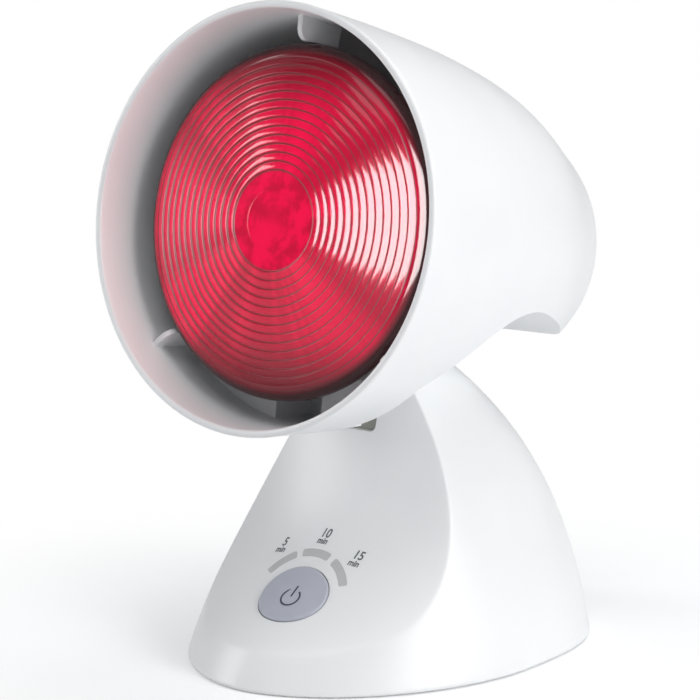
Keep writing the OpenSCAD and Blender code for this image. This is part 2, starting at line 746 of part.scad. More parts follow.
// everything behind the panel's face moved out by d
module behind_panel(d) {
    half = 26;
    translate([0, panel_y, panel_z]) rotate([0, 90, 0]) rotate_extrude($fn = 180)
        polygon(concat([for (k = [-8 : 8]) let (x = half * k / 8) [panel_at(x) - d, x]],
                       [[panel_r + 30, half], [panel_r + 30, -half]]));
}
module button_shape(grow) {
    polygon([for (k = [0 : 47]) let (a = 7.5 * k)
        [(button_w / 2 + grow) * cos(a), (button_l / 2 + grow) * sin(a)]]);
}
module light_shape(turn, grow) {
    reach = light_span / 2 + grow * 3;
    rotate(turn) intersection() {
        difference() {
            circle(light_r + light_w / 2 + grow);
            circle(light_r - light_w / 2 - grow);
        }
        polygon([[0, 0], [-30 * sin(reach), 30 * cos(reach)], [0, 40],
                 [30 * sin(reach), 30 * cos(reach)]]);
    }
}

board_top = -10.4;
switch_top = board_top + 2.7;
button_travel = 1;
button_foot = switch_top + button_travel + 0.1;
button_lip = -4.8;
guide_foot = board_top + 1.5;
guide_lip = -5.2;
board_at = [[-18, -14], [18, -14], [-18, 20], [18, 20]];
foot_boss_at = [[39, -49], [-39, -49], [47, 36], [-47, 36]];
boss_top = 20;
boss_rib_front = 8.5;
boss_rib_rear = 7.5;
inlet_collar = 7.6;
inlet_seat_y = foot_mid + rear_reach(inlet_h, foot_wall);

module neck_slot() {
    r = 2;
    translate([0, foot_mid, 0]) rotate([90, 0, 0]) linear_extrude(foot_front) {
        translate([-slot_w / 2, slot_low + r]) square([slot_w, neck_top - slot_low]);
        translate([-slot_w / 2 + r, slot_low]) square([slot_w - 2 * r, 2 * r]);
        for (x = [-1, 1]) translate([x * (slot_w / 2 - r), slot_low + r]) circle(r, $fn = 24);
    }
    translate([-slot_w / 2, foot_mid - 0.1, slot_floor_rear]) cube([slot_w, foot_rear, neck_top]);
}

module foot_shell() {
    color("white") difference() {
        union() {
            foot_skin();
            for (p = foot_boss_at) {
                translate([p[0], p[1], floor_z]) cylinder(r = 4, h = boss_top - floor_z);
                rib = p[1] > 0 ? boss_rib_rear : boss_rib_front;
                translate([p[0] > 0 ? p[0] : p[0] - rib, p[1] - 1, boss_top - 8]) cube([rib, 2, 8]);
            }
            intersection() {
                on_panel() for (p = board_at)
                    translate([p[0], p[1], board_top]) cylinder(r = 3, h = 2 - board_top);
                behind_panel(-foot_wall / 2);
            }
        }
        neck_slot();
        on_panel() {
            translate([0, 0, -6]) linear_extrude(12) button_shape(button_gap);
            for (a = [-1, 0, 1])
                translate([0, 0, -6]) linear_extrude(12) light_shape(a * light_step, 0.15);
            for (p = board_at) translate([p[0], p[1], board_top - 1]) cylinder(r = screw_hole_r, h = 6);
        }
        for (p = foot_boss_at) translate([p[0], p[1], floor_z - 1]) cylinder(r = screw_hole_r, h = 10);
        translate([0, inlet_seat_y - 6, inlet_h]) rotate([-90, 0, 0]) cylinder(r = 6, h = 20);
    }
}

// ---------- bottom ----------

pad_at = [[28, -62], [-28, -62], [32, 48], [-32, 48]];
board_post_at = [for (x = [-1, 1], y = [4, board_l - 4]) [x * (board_w / 2 - 4), board_y + y]];
weight_mid_y = -9;
weight_l = 62;
weight_screw_at = [[28, 18], [-28, 18], [28, -36], [-28, -36]];

module bottom_plate() {
    outline = foot_ring(floor_z, foot_wall + 0.6);
    color("whitesmoke") difference() {
        union() {
            translate([0, 0, plate_z]) linear_extrude(plate_t) polygon([for (p = outline) [p[0], p[1]]]);
            for (p = board_post_at)
                translate([p[0], p[1], floor_z - 0.5]) cylinder(r = 3, h = board_lift + 0.5);
        }
        for (p = pad_at) translate([p[0], p[1], plate_z - 1]) cylinder(r = pad_r + fit_gap, h = 1.8);
        for (p = foot_boss_at) translate([p[0], p[1], plate_z - 1]) {
            cylinder(r = head_r + 0.3, h = 1 + head_h - 0.4);
            cylinder(r = screw_hole_r, h = 6);
        }
        for (p = weight_screw_at) translate([p[0], p[1], plate_z - 1]) {
            cylinder(r = head_r + 0.3, h = 1 + head_h - 0.4);
            cylinder(r = screw_hole_r, h = 6);
        }
        for (p = board_post_at)
            translate([p[0], p[1], floor_z + board_lift - 8]) cylinder(r = screw_hole_r, h = 9);
    }
}
module rubber_feet() {
    color("dimgray") for (p = pad_at) translate([p[0], p[1], 0]) {
        translate([0, 0, 0.5]) cylinder(r = pad_r, h = plate_z + 0.8 - 0.5);
        cylinder(r = pad_r - 0.5, h = 0.5);
    }
}
module bottom_screws() {
    color("silver") for (p = foot_boss_at)
        translate([p[0], p[1], plate_z + head_h - 0.4]) screw(9);
}
module weight_screws() {
    color("silver") for (p = weight_screw_at)
        translate([p[0], p[1], plate_z + head_h - 0.4]) screw(6.5);
}
module steel_weight() {
    color("dimgray") difference() {
        translate([0, weight_mid_y, floor_z]) soft_plate(2 * weight_half_w, weight_l, weight_t, 6);
        for (p = weight_screw_at) translate([p[0], p[1], floor_z - 1]) cylinder(r = screw_hole_r, h = 7);
        for (p = foot_frame_screw_at)
            translate([p[0], p[1], frame_z - 6]) cylinder(r = screw_hole_r, h = 7);
    }
}
module frame_screws() {
    color("silver") for (p = foot_frame_screw_at)
        translate([p[0], p[1], frame_z + cheek_t]) rotate([180, 0, 0]) screw(cheek_t + 5);
}

// ---------- button, lights and boards ----------

module power_button() {
    color("lightslategray") {
        intersection() {
            on_panel() translate([0, 0, button_lip]) linear_extrude(9) button_shape(0);
            behind_panel(button_proud);
        }
        on_panel() translate([0, 0, button_lip]) linear_extrude(1.2) button_shape(1);
        on_panel() translate([0, 0, button_foot]) cylinder(r = 3, h = button_lip + 0.5 - button_foot);
    }
}
module light_strip(turn) {
    color("lightgray") {
        intersection() {
            on_panel() translate([0, 0, guide_lip]) linear_extrude(9) light_shape(turn, 0);
            behind_panel(0.05);
        }
        on_panel() translate([0, 0, guide_foot])
            linear_extrude(guide_lip + 0.2 - guide_foot) light_shape(turn, 0);
        intersection() {
            on_panel() translate([0, 0, guide_lip]) linear_extrude(9) light_shape(turn, 1);
            behind_panel(-foot_wall - fit_gap);
        }
    }
}
module light_strip_5() {
    light_strip(light_step);
}
module light_strip_10() {
    light_strip(0);
}
module light_strip_15() {
    light_strip(-light_step);
}
module timer_leds() {
    color("honeydew") on_panel() for (a = [-1, 0, 1])
        rotate([0, 0, a * light_step]) translate([-1.75, light_r - 1.4, board_top]) cube([3.5, 2.8, 1.2]);
}
module timer_switch() {
    color("black") on_panel() {
        translate([-3, -3, board_top]) cube([6, 6, 2]);
        translate([0, 0, board_top + 1.9]) cylinder(r = 1.7, h = switch_top - board_top - 1.9);
    }
}
module control_board() {
    color("darkgreen") on_panel() difference() {
        translate([-22, -18, board_top - board_t]) cube([44, 42, board_t]);
        for (p = board_at)
            translate([p[0], p[1], board_top - board_t - 1]) cylinder(r = screw_hole_r, h = 4);
    }
}
module control_board_screws() {
    color("silver") on_panel() for (p = board_at)
        translate([p[0], p[1], board_top - board_t]) screw(board_t + 4.5);
}

board_z = floor_z + board_lift;
board_face = board_z + board_t;
module power_board() {
    color("darkgreen") difference() {
        translate([-board_w / 2, board_y, board_z]) cube([board_w, board_l, board_t]);
        for (p = board_post_at) translate([p[0], p[1], board_z - 1]) cylinder(r = screw_hole_r, h = 4);
    }
}
module power_board_screws() {
    color("silver") for (p = board_post_at)
        translate([p[0], p[1], board_face]) rotate([180, 0, 0]) screw(board_t + 6);
}
module transformer() {
    color("khaki") {
        translate([-transformer_w - 1, board_y + 8, board_face])
            cube([transformer_w, transformer_l, transformer_h]);
        translate([-transformer_w + 2, board_y + 6, board_face + 2])
            cube([transformer_w - 6, transformer_l + 4, transformer_h - 4]);
    }
}
module relay() {
    color("royalblue") translate([3, board_y + 2.6, board_face]) cube([relay_w, relay_l, relay_h]);
}
module fuse() {
    color("gainsboro") translate([2, board_y + 16.6, board_face + fuse_r]) cross_rod(fuse_r, 0, fuse_l);
}
module terminal_block() {
    front = board_y + 20.5;
    color("seagreen") difference() {
        translate([4, front, board_face]) cube([terminal_w, terminal_l, terminal_h]);
        for (x = [8, 15]) {
            translate([x, front + 2.5, board_face + 4]) rotate([-90, 0, 0]) cylinder(r = 1.5, h = 8);
            translate([x, front + 4, board_face + 6]) cylinder(r = 1.6, h = 5);
        }
    }
}
module cord_inlet_bush() {
    inner_end = -6;
    outer_collar = foot_wall + 0.15;
    color("black") translate([0, inlet_seat_y, inlet_h]) rotate([-90, 0, 0]) difference() {
        union() {
            translate([0, 0, inner_end]) cylinder(r = 5.9, h = outer_collar + 0.5 - inner_end);
            translate([0, 0, -3.2]) cylinder(r = inlet_collar, h = 2.3);
            translate([0, 0, outer_collar]) cylinder(r = 7, h = 1.2);
        }
        translate([0, 0, inner_end - 2]) cylinder(r = inlet_r, h = 20);
    }
}
module neck_leads() {
    x = cheek_in - lead_r - 0.3;
    top = pivot_h - hub_r - 6.5;
    color("whitesmoke") for (m = [0, 1]) mirror([m, 0, 0])
        wire([[x, board_y + 1, board_face + lead_r + 0.1], [x, board_y - 6, board_face + 4],
              [x, 8, board_face + 20], [x, 2, top - 12], [x, 3, top]], lead_r);
}
module link_cable() {
    over_frame = frame_z + 2.5;
    color("gainsboro")
        wire([[23, board_y + 0.5, board_z - lead_r - 0.2], [26.5, board_y - 6, 17], [30, 0, over_frame],
              [28, -25, over_frame], [20, -38, over_frame + 5],
              panel_point([15, 6, board_top - board_t - lead_r + 0.15])], lead_r);
}

foot_shell();
bottom_plate();
rubber_feet();
bottom_screws();
steel_weight();
weight_screws();
neck_frame();
frame_screws();
hinge_pin();
pin_clip();
power_button();
light_strip_5();
light_strip_10();
light_strip_15();
control_board();
control_board_screws();
timer_switch();
timer_leds();
power_board();
power_board_screws();
transformer();
relay();
fuse();
terminal_block();
cord_inlet_bush();
neck_leads();
link_cable();
shade();
tilt_arm();
arm_screws();
hinge_bushes();
holder_frame();
holder_frame_screws();
lamp_holder();
holder_screws();
holder_sleeve();
holder_contact();
lamp_leads();
bulb_lens();
bulb_bowl();
bulb_skirt();
bulb_cap();
bulb_insulator();
bulb_contact();
filament();
filament_posts();
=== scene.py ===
import json
import math
import bpy
import bmesh
import mathutils
import numpy as np
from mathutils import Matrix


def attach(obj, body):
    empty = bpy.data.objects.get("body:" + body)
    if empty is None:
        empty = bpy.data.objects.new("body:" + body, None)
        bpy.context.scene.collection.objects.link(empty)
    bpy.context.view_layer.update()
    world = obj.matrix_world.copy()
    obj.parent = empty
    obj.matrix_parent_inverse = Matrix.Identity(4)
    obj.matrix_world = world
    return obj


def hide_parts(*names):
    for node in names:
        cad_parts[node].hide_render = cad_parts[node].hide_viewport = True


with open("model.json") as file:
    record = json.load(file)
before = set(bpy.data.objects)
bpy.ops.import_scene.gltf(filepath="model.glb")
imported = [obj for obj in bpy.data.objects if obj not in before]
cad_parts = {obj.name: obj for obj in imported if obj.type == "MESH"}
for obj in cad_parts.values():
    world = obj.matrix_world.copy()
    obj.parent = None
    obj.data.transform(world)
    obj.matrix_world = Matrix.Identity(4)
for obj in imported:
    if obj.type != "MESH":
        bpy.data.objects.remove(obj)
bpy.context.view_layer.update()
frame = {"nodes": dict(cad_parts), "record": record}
nodes = frame["nodes"]
mm = 0.001
print("frame loaded:", len(nodes), "solids")


# ---- small tools ----

# sRGB hex to linear: a straight part below 0.04045, above it the 2.4 power curve
def hexColor(text, alpha=1.0):
    parts = [int(text[i:i + 2], 16) / 255 for i in (1, 3, 5)]
    return tuple(c / 12.92 if c <= 0.04045 else ((c + 0.055) / 1.055) ** 2.4 for c in parts) + (alpha,)


# adds a node, sets its properties, then each socket to a value or to another node's output
def addNode(tree, kind, sockets=None, **settings):
    node = tree.nodes.new(kind)
    for key, value in settings.items():
        setattr(node, key, value)
    for key, value in (sockets or {}).items():
        if isinstance(value, bpy.types.NodeSocket):
            tree.links.new(value, node.inputs[key])
        else:
            node.inputs[key].default_value = value
    return node


# an empty node material with its Object coordinates in metres
def newMaterial(name):
    mat = bpy.data.materials.new(name)
    mat.use_nodes = True
    mat.node_tree.nodes.clear()
    coords = addNode(mat.node_tree, "ShaderNodeTexCoord").outputs["Object"]
    return mat, mat.node_tree, coords


# closes a material with its shader
def finishMaterial(tree, shader):
    addNode(tree, "ShaderNodeOutputMaterial", {"Surface": shader.outputs[0]})


# Hermite curve through the points: each slope is the weighted slope of its two neighbours
def smoothCurve(x, xs, ys):
    xs, ys = np.asarray(xs, float), np.asarray(ys, float)
    slopes = np.gradient(ys, xs)
    i = np.clip(np.searchsorted(xs, x, side="right") - 1, 0, len(xs) - 2)
    w = xs[i + 1] - xs[i]
    t = np.clip((x - xs[i]) / w, 0, 1)
    return ((2 * t**3 - 3 * t**2 + 1) * ys[i] + (t**3 - 2 * t**2 + t) * w * slopes[i]
            + (3 * t**2 - 2 * t**3) * ys[i + 1] + (t**3 - t**2) * w * slopes[i + 1])


# joins grids of points (rows, columns, xyz in mm) into one mesh: each cell is a face of four neighbours,
# points closer than the weld become one, and edges that turn more than the crease angle stay sharp
def gridsToObject(name, grids, place=None, weld=0.01, crease=35, outward=True):
    points, faces, start = [], [], 0
    for grid in grids:
        rows, cols = grid.shape[:2]
        index = start + np.arange(rows * cols).reshape(rows, cols)
        cells = np.stack([index[:-1, :-1], index[:-1, 1:], index[1:, 1:], index[1:, :-1]], axis=-1)
        points.append(grid.reshape(-1, 3))
        faces.append(cells.reshape(-1, 4))
        start += rows * cols
    points = np.concatenate(points)
    if place is not None:
        points = place(points)
    mesh = bpy.data.meshes.new(name)
    mesh.from_pydata((points * mm).tolist(), [], np.concatenate(faces).tolist())
    return dressMesh(name, mesh, weld, crease, outward)


# welds a mesh, drops its flat faces, points its faces outward and marks its sharp edges
def dressMesh(name, mesh, weld, crease, outward=True):
    work = bmesh.new()
    work.from_mesh(mesh)
    bmesh.ops.remove_doubles(work, verts=work.verts, dist=weld * mm)
    bmesh.ops.dissolve_degenerate(work, edges=work.edges, dist=weld * mm * 0.5)
    if outward:
        bmesh.ops.recalc_face_normals(work, faces=work.faces)
    for face in work.faces:
        face.smooth = True
    for edge in work.edges:
        edge.smooth = not (len(edge.link_faces) == 2 and edge.calc_face_angle(0) > math.radians(crease))
    work.to_mesh(mesh)
    work.free()
    obj = bpy.data.objects.new(name, mesh)
    bpy.context.scene.collection.objects.link(obj)
    return obj


# a profile of (radius, distance) carried once round an axis: x = r sin a, z = -r cos a
def turnProfile(profile, steps=192):
    profile = np.asarray(profile, float)
    angle = np.linspace(0, 2 * np.pi, steps + 1)
    r, s = profile[:, 0][:, None], profile[:, 1][:, None]
    return np.stack([r * np.sin(angle), s + 0 * angle, -r * np.cos(angle)], axis=-1)


# a flat outline (x, y) carried from one height to another, with both ends closed by a fan to its middle
def prismGrid(outline, low, high, layers=2):
    outline = np.vstack([outline, outline[:1]])
    middle = outline[:-1].mean(axis=0)
    side = [np.column_stack([outline, np.full(len(outline), z)]) for z in np.linspace(low, high, layers)]
    foot = np.column_stack([0 * outline + middle, np.full(len(outline), low)])
    head = np.column_stack([0 * outline + middle, np.full(len(outline), high)])
    return np.stack([foot] + side + [head])


# runs a piece's modifiers and keeps the result as its mesh
def applyModifiers(obj):
    ready = obj.evaluated_get(bpy.context.evaluated_depsgraph_get())
    mesh = bpy.data.meshes.new_from_object(ready)
    obj.modifiers.clear()
    obj.data = mesh
    return obj


# cuts a closed cutter out of a piece, then removes the cutter
def cutOut(obj, cutter):
    mod = obj.modifiers.new("cut", "BOOLEAN")
    mod.operation = "DIFFERENCE"
    mod.solver = "EXACT"
    mod.object = cutter
    applyModifiers(obj)
    bpy.data.objects.remove(cutter)
    return obj


# sets a piece's material and body, and hides the CAD nodes that it stands for
# slot: not used
def place(obj, mat, body, slot, *replaced):
    obj.data.materials.clear()
    obj.data.materials.append(mat)
    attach(obj, body)
    if replaced:
        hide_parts(*replaced)
    return obj


# ---- materials ----

# injection-moulded white ABS: satin, with a very fine spark-eroded grain that only softens the gloss
def mouldedWhite():
    look = dict(colour="#f2f3f3", shaded="#e9eaec", grain=0.35, cloud=40, rough=0.36)
    mat, tree, coords = newMaterial("mouldedWhiteAbs")
    cloud = addNode(tree, "ShaderNodeTexNoise", {"Vector": coords, "Scale": 1000 / look["cloud"], "Detail": 3.0})
    tint = addNode(tree, "ShaderNodeMix", {0: cloud.outputs["Fac"], 6: hexColor(look["shaded"]),
                                           7: hexColor(look["colour"])}, data_type="RGBA")
    grain = addNode(tree, "ShaderNodeTexNoise", {"Vector": coords, "Scale": 1000 / look["grain"], "Detail": 2.0})
    rough = addNode(tree, "ShaderNodeMapRange", {"Value": cloud.outputs["Fac"], "To Min": look["rough"] - 0.03,
                                                 "To Max": look["rough"] + 0.05})
    bump = addNode(tree, "ShaderNodeBump", {"Height": grain.outputs["Fac"], "Strength": 0.04, "Distance": 0.00004})
    shader = addNode(tree, "ShaderNodeBsdfPrincipled", {
        "Base Color": tint.outputs[2], "Roughness": rough.outputs[0], "IOR": 1.53, "Normal": bump.outputs[0]})
    finishMaterial(tree, shader)
    return mat


# a moulded plastic of one colour, with clouding a few millimetres wide and a fine grain
def mouldedPlastic(name, colour, rough, grain=0.4, depth=0.05):
    mat, tree, coords = newMaterial(name)
    base = hexColor(colour)
    darker = tuple(c * 0.9 for c in base[:3]) + (1,)
    cloud = addNode(tree, "ShaderNodeTexNoise", {"Vector": coords, "Scale": 120.0, "Detail": 4.0})
    tint = addNode(tree, "ShaderNodeMix", {0: cloud.outputs["Fac"], 6: darker, 7: base}, data_type="RGBA")
    fine = addNode(tree, "ShaderNodeTexNoise", {"Vector": coords, "Scale": 1000 / grain, "Detail": 2.0})
    bump = addNode(tree, "ShaderNodeBump", {"Height": fine.outputs["Fac"], "Strength": depth, "Distance": 0.00005})
    spread = addNode(tree, "ShaderNodeMapRange", {"Value": cloud.outputs["Fac"], "To Min": rough * 0.9,
                                                  "To Max": rough * 1.12})
    shader = addNode(tree, "ShaderNodeBsdfPrincipled", {
        "Base Color": tint.outputs[2], "Roughness": spread.outputs[0], "IOR": 1.5, "Normal": bump.outputs[0]})
    finishMaterial(tree, shader)
    return mat


# a metal of one colour with fine brushing: noise stretched along X, and a little darker in its scratches
def brushedMetal(name, colour, rough, stretch=(40, 900, 900)):
    mat, tree, coords = newMaterial(name)
    base = hexColor(colour)
    darker = tuple(c * 0.8 for c in base[:3]) + (1,)
    along = addNode(tree, "ShaderNodeMapping", {"Vector": coords, "Scale": stretch})
    lines = addNode(tree, "ShaderNodeTexNoise", {"Vector": along.outputs[0], "Scale": 1.0, "Detail": 5.0})
    tint = addNode(tree, "ShaderNodeMix", {0: lines.outputs["Fac"], 6: darker, 7: base}, data_type="RGBA")
    spread = addNode(tree, "ShaderNodeMapRange", {"Value": lines.outputs["Fac"], "To Min": rough * 0.8,
                                                  "To Max": rough * 1.3})
    bump = addNode(tree, "ShaderNodeBump", {"Height": lines.outputs["Fac"], "Strength": 0.12, "Distance": 0.00004})
    shader = addNode(tree, "ShaderNodeBsdfPrincipled", {
        "Base Color": tint.outputs[2], "Roughness": spread.outputs[0], "Metallic": 1.0,
        "Normal": bump.outputs[0]})
    finishMaterial(tree, shader)
    return mat


# ruby-stained pressed glass over a silvered bowl: painted light in soft rays from the middle stands for what the
# bowl's curve reflects, and a faint painted glow of its own colour returns a little light through it; painted shade
# makes it dark red towards the top and bottom, deep in the grooves and near black at the rim, and its hard surface
# mirrors the lights sharply
def pressedRuby(axis):
    look = dict(bright="#fa0549", deep="#cf0338", groove="#720017", rimShade="#2c0006", rimFrom=56.0, rimTo=60.0,
                bandFrom=34.0, bandTo=58.0, rays=2.4, calm=20.0, gloss=0.11, matt=0.5)
    mat, tree, coords = newMaterial("pressedRubyGlass")
    turned = addNode(tree, "ShaderNodeMapping", {
        "Vector": coords, "Location": axis["location"], "Rotation": axis["rotation"]}, vector_type="TEXTURE")
    flat = addNode(tree, "ShaderNodeVectorMath", {0: turned.outputs[0], 1: (1, 0, 1)}, operation="MULTIPLY")
    reach = addNode(tree, "ShaderNodeVectorMath", {0: flat.outputs[0]}, operation="LENGTH")
    heading = addNode(tree, "ShaderNodeVectorMath", {0: flat.outputs[0]}, operation="NORMALIZE")
    fade = addNode(tree, "ShaderNodeMapRange", {"Value": reach.outputs["Value"], "From Max": look["calm"] * mm},
                   interpolation_type="SMOOTHSTEP")
    eased = addNode(tree, "ShaderNodeVectorMath", {0: heading.outputs[0], "Scale": fade.outputs[0]},
                    operation="SCALE")
    spread = addNode(tree, "ShaderNodeVectorMath", {0: eased.outputs[0], 1: flat.outputs[0]}, operation="ADD")
    # painted light: rays of brighter and deeper red from the middle stand for what the silvered bowl reflects
    rays = addNode(tree, "ShaderNodeTexNoise", {"Vector": spread.outputs[0], "Scale": look["rays"], "Detail": 3.0})
    bold = addNode(tree, "ShaderNodeMapRange", {"Value": rays.outputs["Fac"], "From Min": 0.36, "From Max": 0.64},
                   interpolation_type="SMOOTHSTEP")
    base = addNode(tree, "ShaderNodeMix", {0: bold.outputs[0], 6: hexColor(look["deep"]),
                                           7: hexColor(look["bright"])}, data_type="RGBA")
    # painted shade: the colour turns to the dark groove red towards the top and bottom of the lens
    axes = addNode(tree, "ShaderNodeSeparateXYZ", {"Vector": turned.outputs[0]})
    height = addNode(tree, "ShaderNodeMath", {0: axes.outputs["Z"]}, operation="ABSOLUTE")
    shadeBand = addNode(tree, "ShaderNodeMapRange", {
        "Value": height.outputs[0], "From Min": look["bandFrom"] * mm, "From Max": look["bandTo"] * mm},
        interpolation_type="SMOOTHSTEP")
    shadeBanded = addNode(tree, "ShaderNodeMix", {0: shadeBand.outputs[0], 6: base.outputs[2],
                                             7: hexColor(look["groove"])}, data_type="RGBA")
    # painted shade: thin dark lines in the grooves, which are also made matt
    groove = addNode(tree, "ShaderNodeAttribute", attribute_name="groove")
    lined = addNode(tree, "ShaderNodeMix", {0: groove.outputs["Fac"], 6: shadeBanded.outputs[2],
                                            7: hexColor(look["groove"])}, data_type="RGBA")
    # painted shade: the colour turns near black at the rim
    edge = addNode(tree, "ShaderNodeMapRange", {
        "Value": reach.outputs["Value"], "From Min": look["rimFrom"] * mm, "From Max": look["rimTo"] * mm},
        interpolation_type="SMOOTHSTEP")
    colour = addNode(tree, "ShaderNodeMix", {0: edge.outputs[0], 6: lined.outputs[2],
                                             7: hexColor(look["rimShade"])}, data_type="RGBA")
    seeds = addNode(tree, "ShaderNodeTexNoise", {"Vector": coords, "Scale": 700.0, "Detail": 3.0})
    bump = addNode(tree, "ShaderNodeBump", {"Height": seeds.outputs["Fac"], "Strength": 0.05, "Distance": 0.0001})
    rough = addNode(tree, "ShaderNodeMapRange", {"Value": groove.outputs["Fac"], "To Min": look["gloss"],
                                                 "To Max": look["matt"]})
    # painted light: the emission glows in the lens's own colour for the light that the silver returns
    shader = addNode(tree, "ShaderNodeBsdfPrincipled", {
        "Base Color": colour.outputs[2], "Roughness": rough.outputs[0], "IOR": 1.52,
        "Emission Color": colour.outputs[2], "Emission Strength": 0.2, "Normal": bump.outputs[0]})
    finishMaterial(tree, shader)
    return mat


# silvered glass: a mirror coat behind the glass, with faint streaks from the silvering
def silveredGlass():
    mat, tree, coords = newMaterial("silveredGlass")
    streak = addNode(tree, "ShaderNodeTexNoise", {"Vector": coords, "Scale": 90.0, "Detail": 4.0})
    tint = addNode(tree, "ShaderNodeMix", {0: streak.outputs["Fac"], 6: hexColor("#7d7f80"),
                                           7: hexColor("#c9cacb")}, data_type="RGBA")
    rough = addNode(tree, "ShaderNodeMapRange", {"Value": streak.outputs["Fac"], "To Min": 0.12, "To Max": 0.3})
    shader = addNode(tree, "ShaderNodeBsdfPrincipled", {
        "Base Color": tint.outputs[2], "Roughness": rough.outputs[0], "Metallic": 1.0})
    finishMaterial(tree, shader)
    return mat


# steatite, the glazed ceramic of lamp holders: warm white with faint specks
def glazedSteatite():
    mat, tree, coords = newMaterial("glazedSteatite")
    speck = addNode(tree, "ShaderNodeTexVoronoi", {"Vector": coords, "Scale": 900.0})
    dots = addNode(tree, "ShaderNodeMapRange", {"Value": speck.outputs["Distance"], "From Min": 0.05,
                                                "From Max": 0.25})
    tint = addNode(tree, "ShaderNodeMix", {0: dots.outputs[0], 6: hexColor("#b8b0a0"), 7: hexColor("#ece8dc")},
                   data_type="RGBA")
    bump = addNode(tree, "ShaderNodeBump", {"Height": speck.outputs["Distance"], "Strength": 0.06,
                                            "Distance": 0.00008})
    shader = addNode(tree, "ShaderNodeBsdfPrincipled", {
        "Base Color": tint.outputs[2], "Roughness": 0.25, "IOR": 1.55, "Coat Weight": 0.4,
        "Normal": bump.outputs[0]})
    finishMaterial(tree, shader)
    return mat


# glass-fibre circuit board under green lacquer: dark tracks 0.5 mm wide show through the lacquer
def lacqueredBoard():
    mat, tree, coords = newMaterial("lacqueredFibreBoard")
    tracks = addNode(tree, "ShaderNodeTexBrick", {
        "Vector": coords, "Scale": 180.0, "Color1": hexColor("#0f5a2c"), "Color2": hexColor("#0c4a25"),
        "Mortar": hexColor("#1f7a3f"), "Mortar Size": 0.03})
    shader = addNode(tree, "ShaderNodeBsdfPrincipled", {
        "Base Color": tracks.outputs["Color"], "Roughness": 0.3, "IOR": 1.5, "Coat Weight": 0.3})
    finishMaterial(tree, shader)
    return mat


# screen-printed ink: a flat matt film, a little paler in patches
def printedInk(name, colour):
    mat, tree, coords = newMaterial(name)
    film = addNode(tree, "ShaderNodeTexNoise", {"Vector": coords, "Scale": 1500.0, "Detail": 2.0})
    base = hexColor(colour)
    paler = tuple(min(1, c * 1.25 + 0.01) for c in base[:3]) + (1,)
    tint = addNode(tree, "ShaderNodeMix", {0: film.outputs["Fac"], 6: base, 7: paler}, data_type="RGBA")
    shader = addNode(tree, "ShaderNodeBsdfPrincipled", {"Base Color": tint.outputs[2], "Roughness": 0.6,
                                                        "IOR": 1.45})
    finishMaterial(tree, shader)
    return mat


# ---- the shade's own directions ----

shade = dict(
    tilt=9.0, mouthY=-80.3, mouthZ=161.4, mouthRadius=73.5, length=173.9, wall=2.5, lip=0.9,
    shares=(0, 0.2, 0.4, 0.6, 0.75, 0.87, 0.95, 1), radii=(73.5, 71.0, 67.2, 60.1, 50.2, 40.3, 25.9, 0),
    scoopTop=22.5, scoopMid=86.5, scoopRadius=51.0, frontSlope=43.0, rearSlope=8.9, frontWall=35.0,
    scoopWall=2.0, notchHalf=12.0, notchBack=54.0, lipRound=5.0, lipFrom=128.0, lipTo=150.0, bulbRoom=4.5,
    bulbBack=110.0)
bulb = dict(radius=61.0, front=9.0, rise=8.7, bowl=60.0, glass=2.4, skirt=20.0, pitch=3.0, ridge=0.62,
            step=0.25, bare=10.4, ringsFrom=17.0, ringsTo=56.0)
bulb["edge"] = bulb["front"] + bulb["rise"]


# carries points (x, along the axis, across it) to the frame: a turn about X by the tilt, then out to the mouth
def fromShade(p):
    a = math.radians(shade["tilt"])
    x, s, v = p[..., 0], p[..., 1], p[..., 2]
    return np.stack([x, shade["mouthY"] + s * math.cos(a) + v * math.sin(a),
                     shade["mouthZ"] - s * math.sin(a) + v * math.cos(a)], axis=-1)


# the mapping that centres and turns a pattern on the shade's axis
shadeAxis = dict(location=(0, shade["mouthY"] * mm, shade["mouthZ"] * mm),
                 rotation=(-math.radians(shade["tilt"]), 0, 0))


# radius of the shade at a distance from the mouth: the square of the radius follows a smooth curve
def shadeRadius(s, inset=0.0):
    share = np.clip(s / (shade["length"] - inset), 0, 1)
    square = smoothCurve(share, shade["shares"], np.square(shade["radii"]))
    return np.sqrt(np.maximum(square, 0)) * (1 - inset / shade["mouthRadius"])


# radius of the bulb: its edge, then a paraboloid down to the metal skirt
def bulbRadius(s):
    bowl = bulb["radius"] * np.sqrt(np.clip(1 - (s - bulb["edge"]) / bulb["bowl"], 0, 1))
    return np.where(s < bulb["edge"], bulb["radius"], np.maximum(bowl, bulb["skirt"]))


# height of the scoop's ceiling: a slope, an arch and a long slope to the back, where it rounds into the shell,
# lowered in the middle so that it stays clear of the bulb
def scoopCeiling(s, x, grow):
    top, mid, r = shade["scoopTop"], shade["scoopMid"], shade["scoopRadius"] + grow
    f, b = math.radians(shade["frontSlope"]), math.radians(shade["rearSlope"])
    low = -top - shade["scoopRadius"]
    sa, va = mid - r * math.sin(f), low + r * math.cos(f)
    sb, vb = mid + r * math.sin(b), low + r * math.cos(b)
    arch = low + np.sqrt(np.maximum(r * r - (s - mid) ** 2, 0))
    v = np.where(s < sa, va - math.tan(f) * (sa - s), np.where(s > sb, vb - math.tan(b) * (s - sb), arch))
    soft = np.clip((s - shade["lipFrom"]) / (shade["lipTo"] - shade["lipFrom"]), 0, 1)
    k = shade["lipRound"] * soft * soft * (3 - 2 * soft)
    floor = -shadeRadius(s, 0 if grow == 0 else shade["wall"])
    v = 0.5 * (v + floor + np.sqrt((v - floor) ** 2 + k * k))
    jacket = bulbRadius(s) + shade["bulbRoom"] - grow
    bulge = -np.sqrt(np.maximum(jacket**2 - x * x, 0))
    return np.where((np.abs(x) < jacket) & (s < shade["bulbBack"]), np.minimum(v, bulge), v)


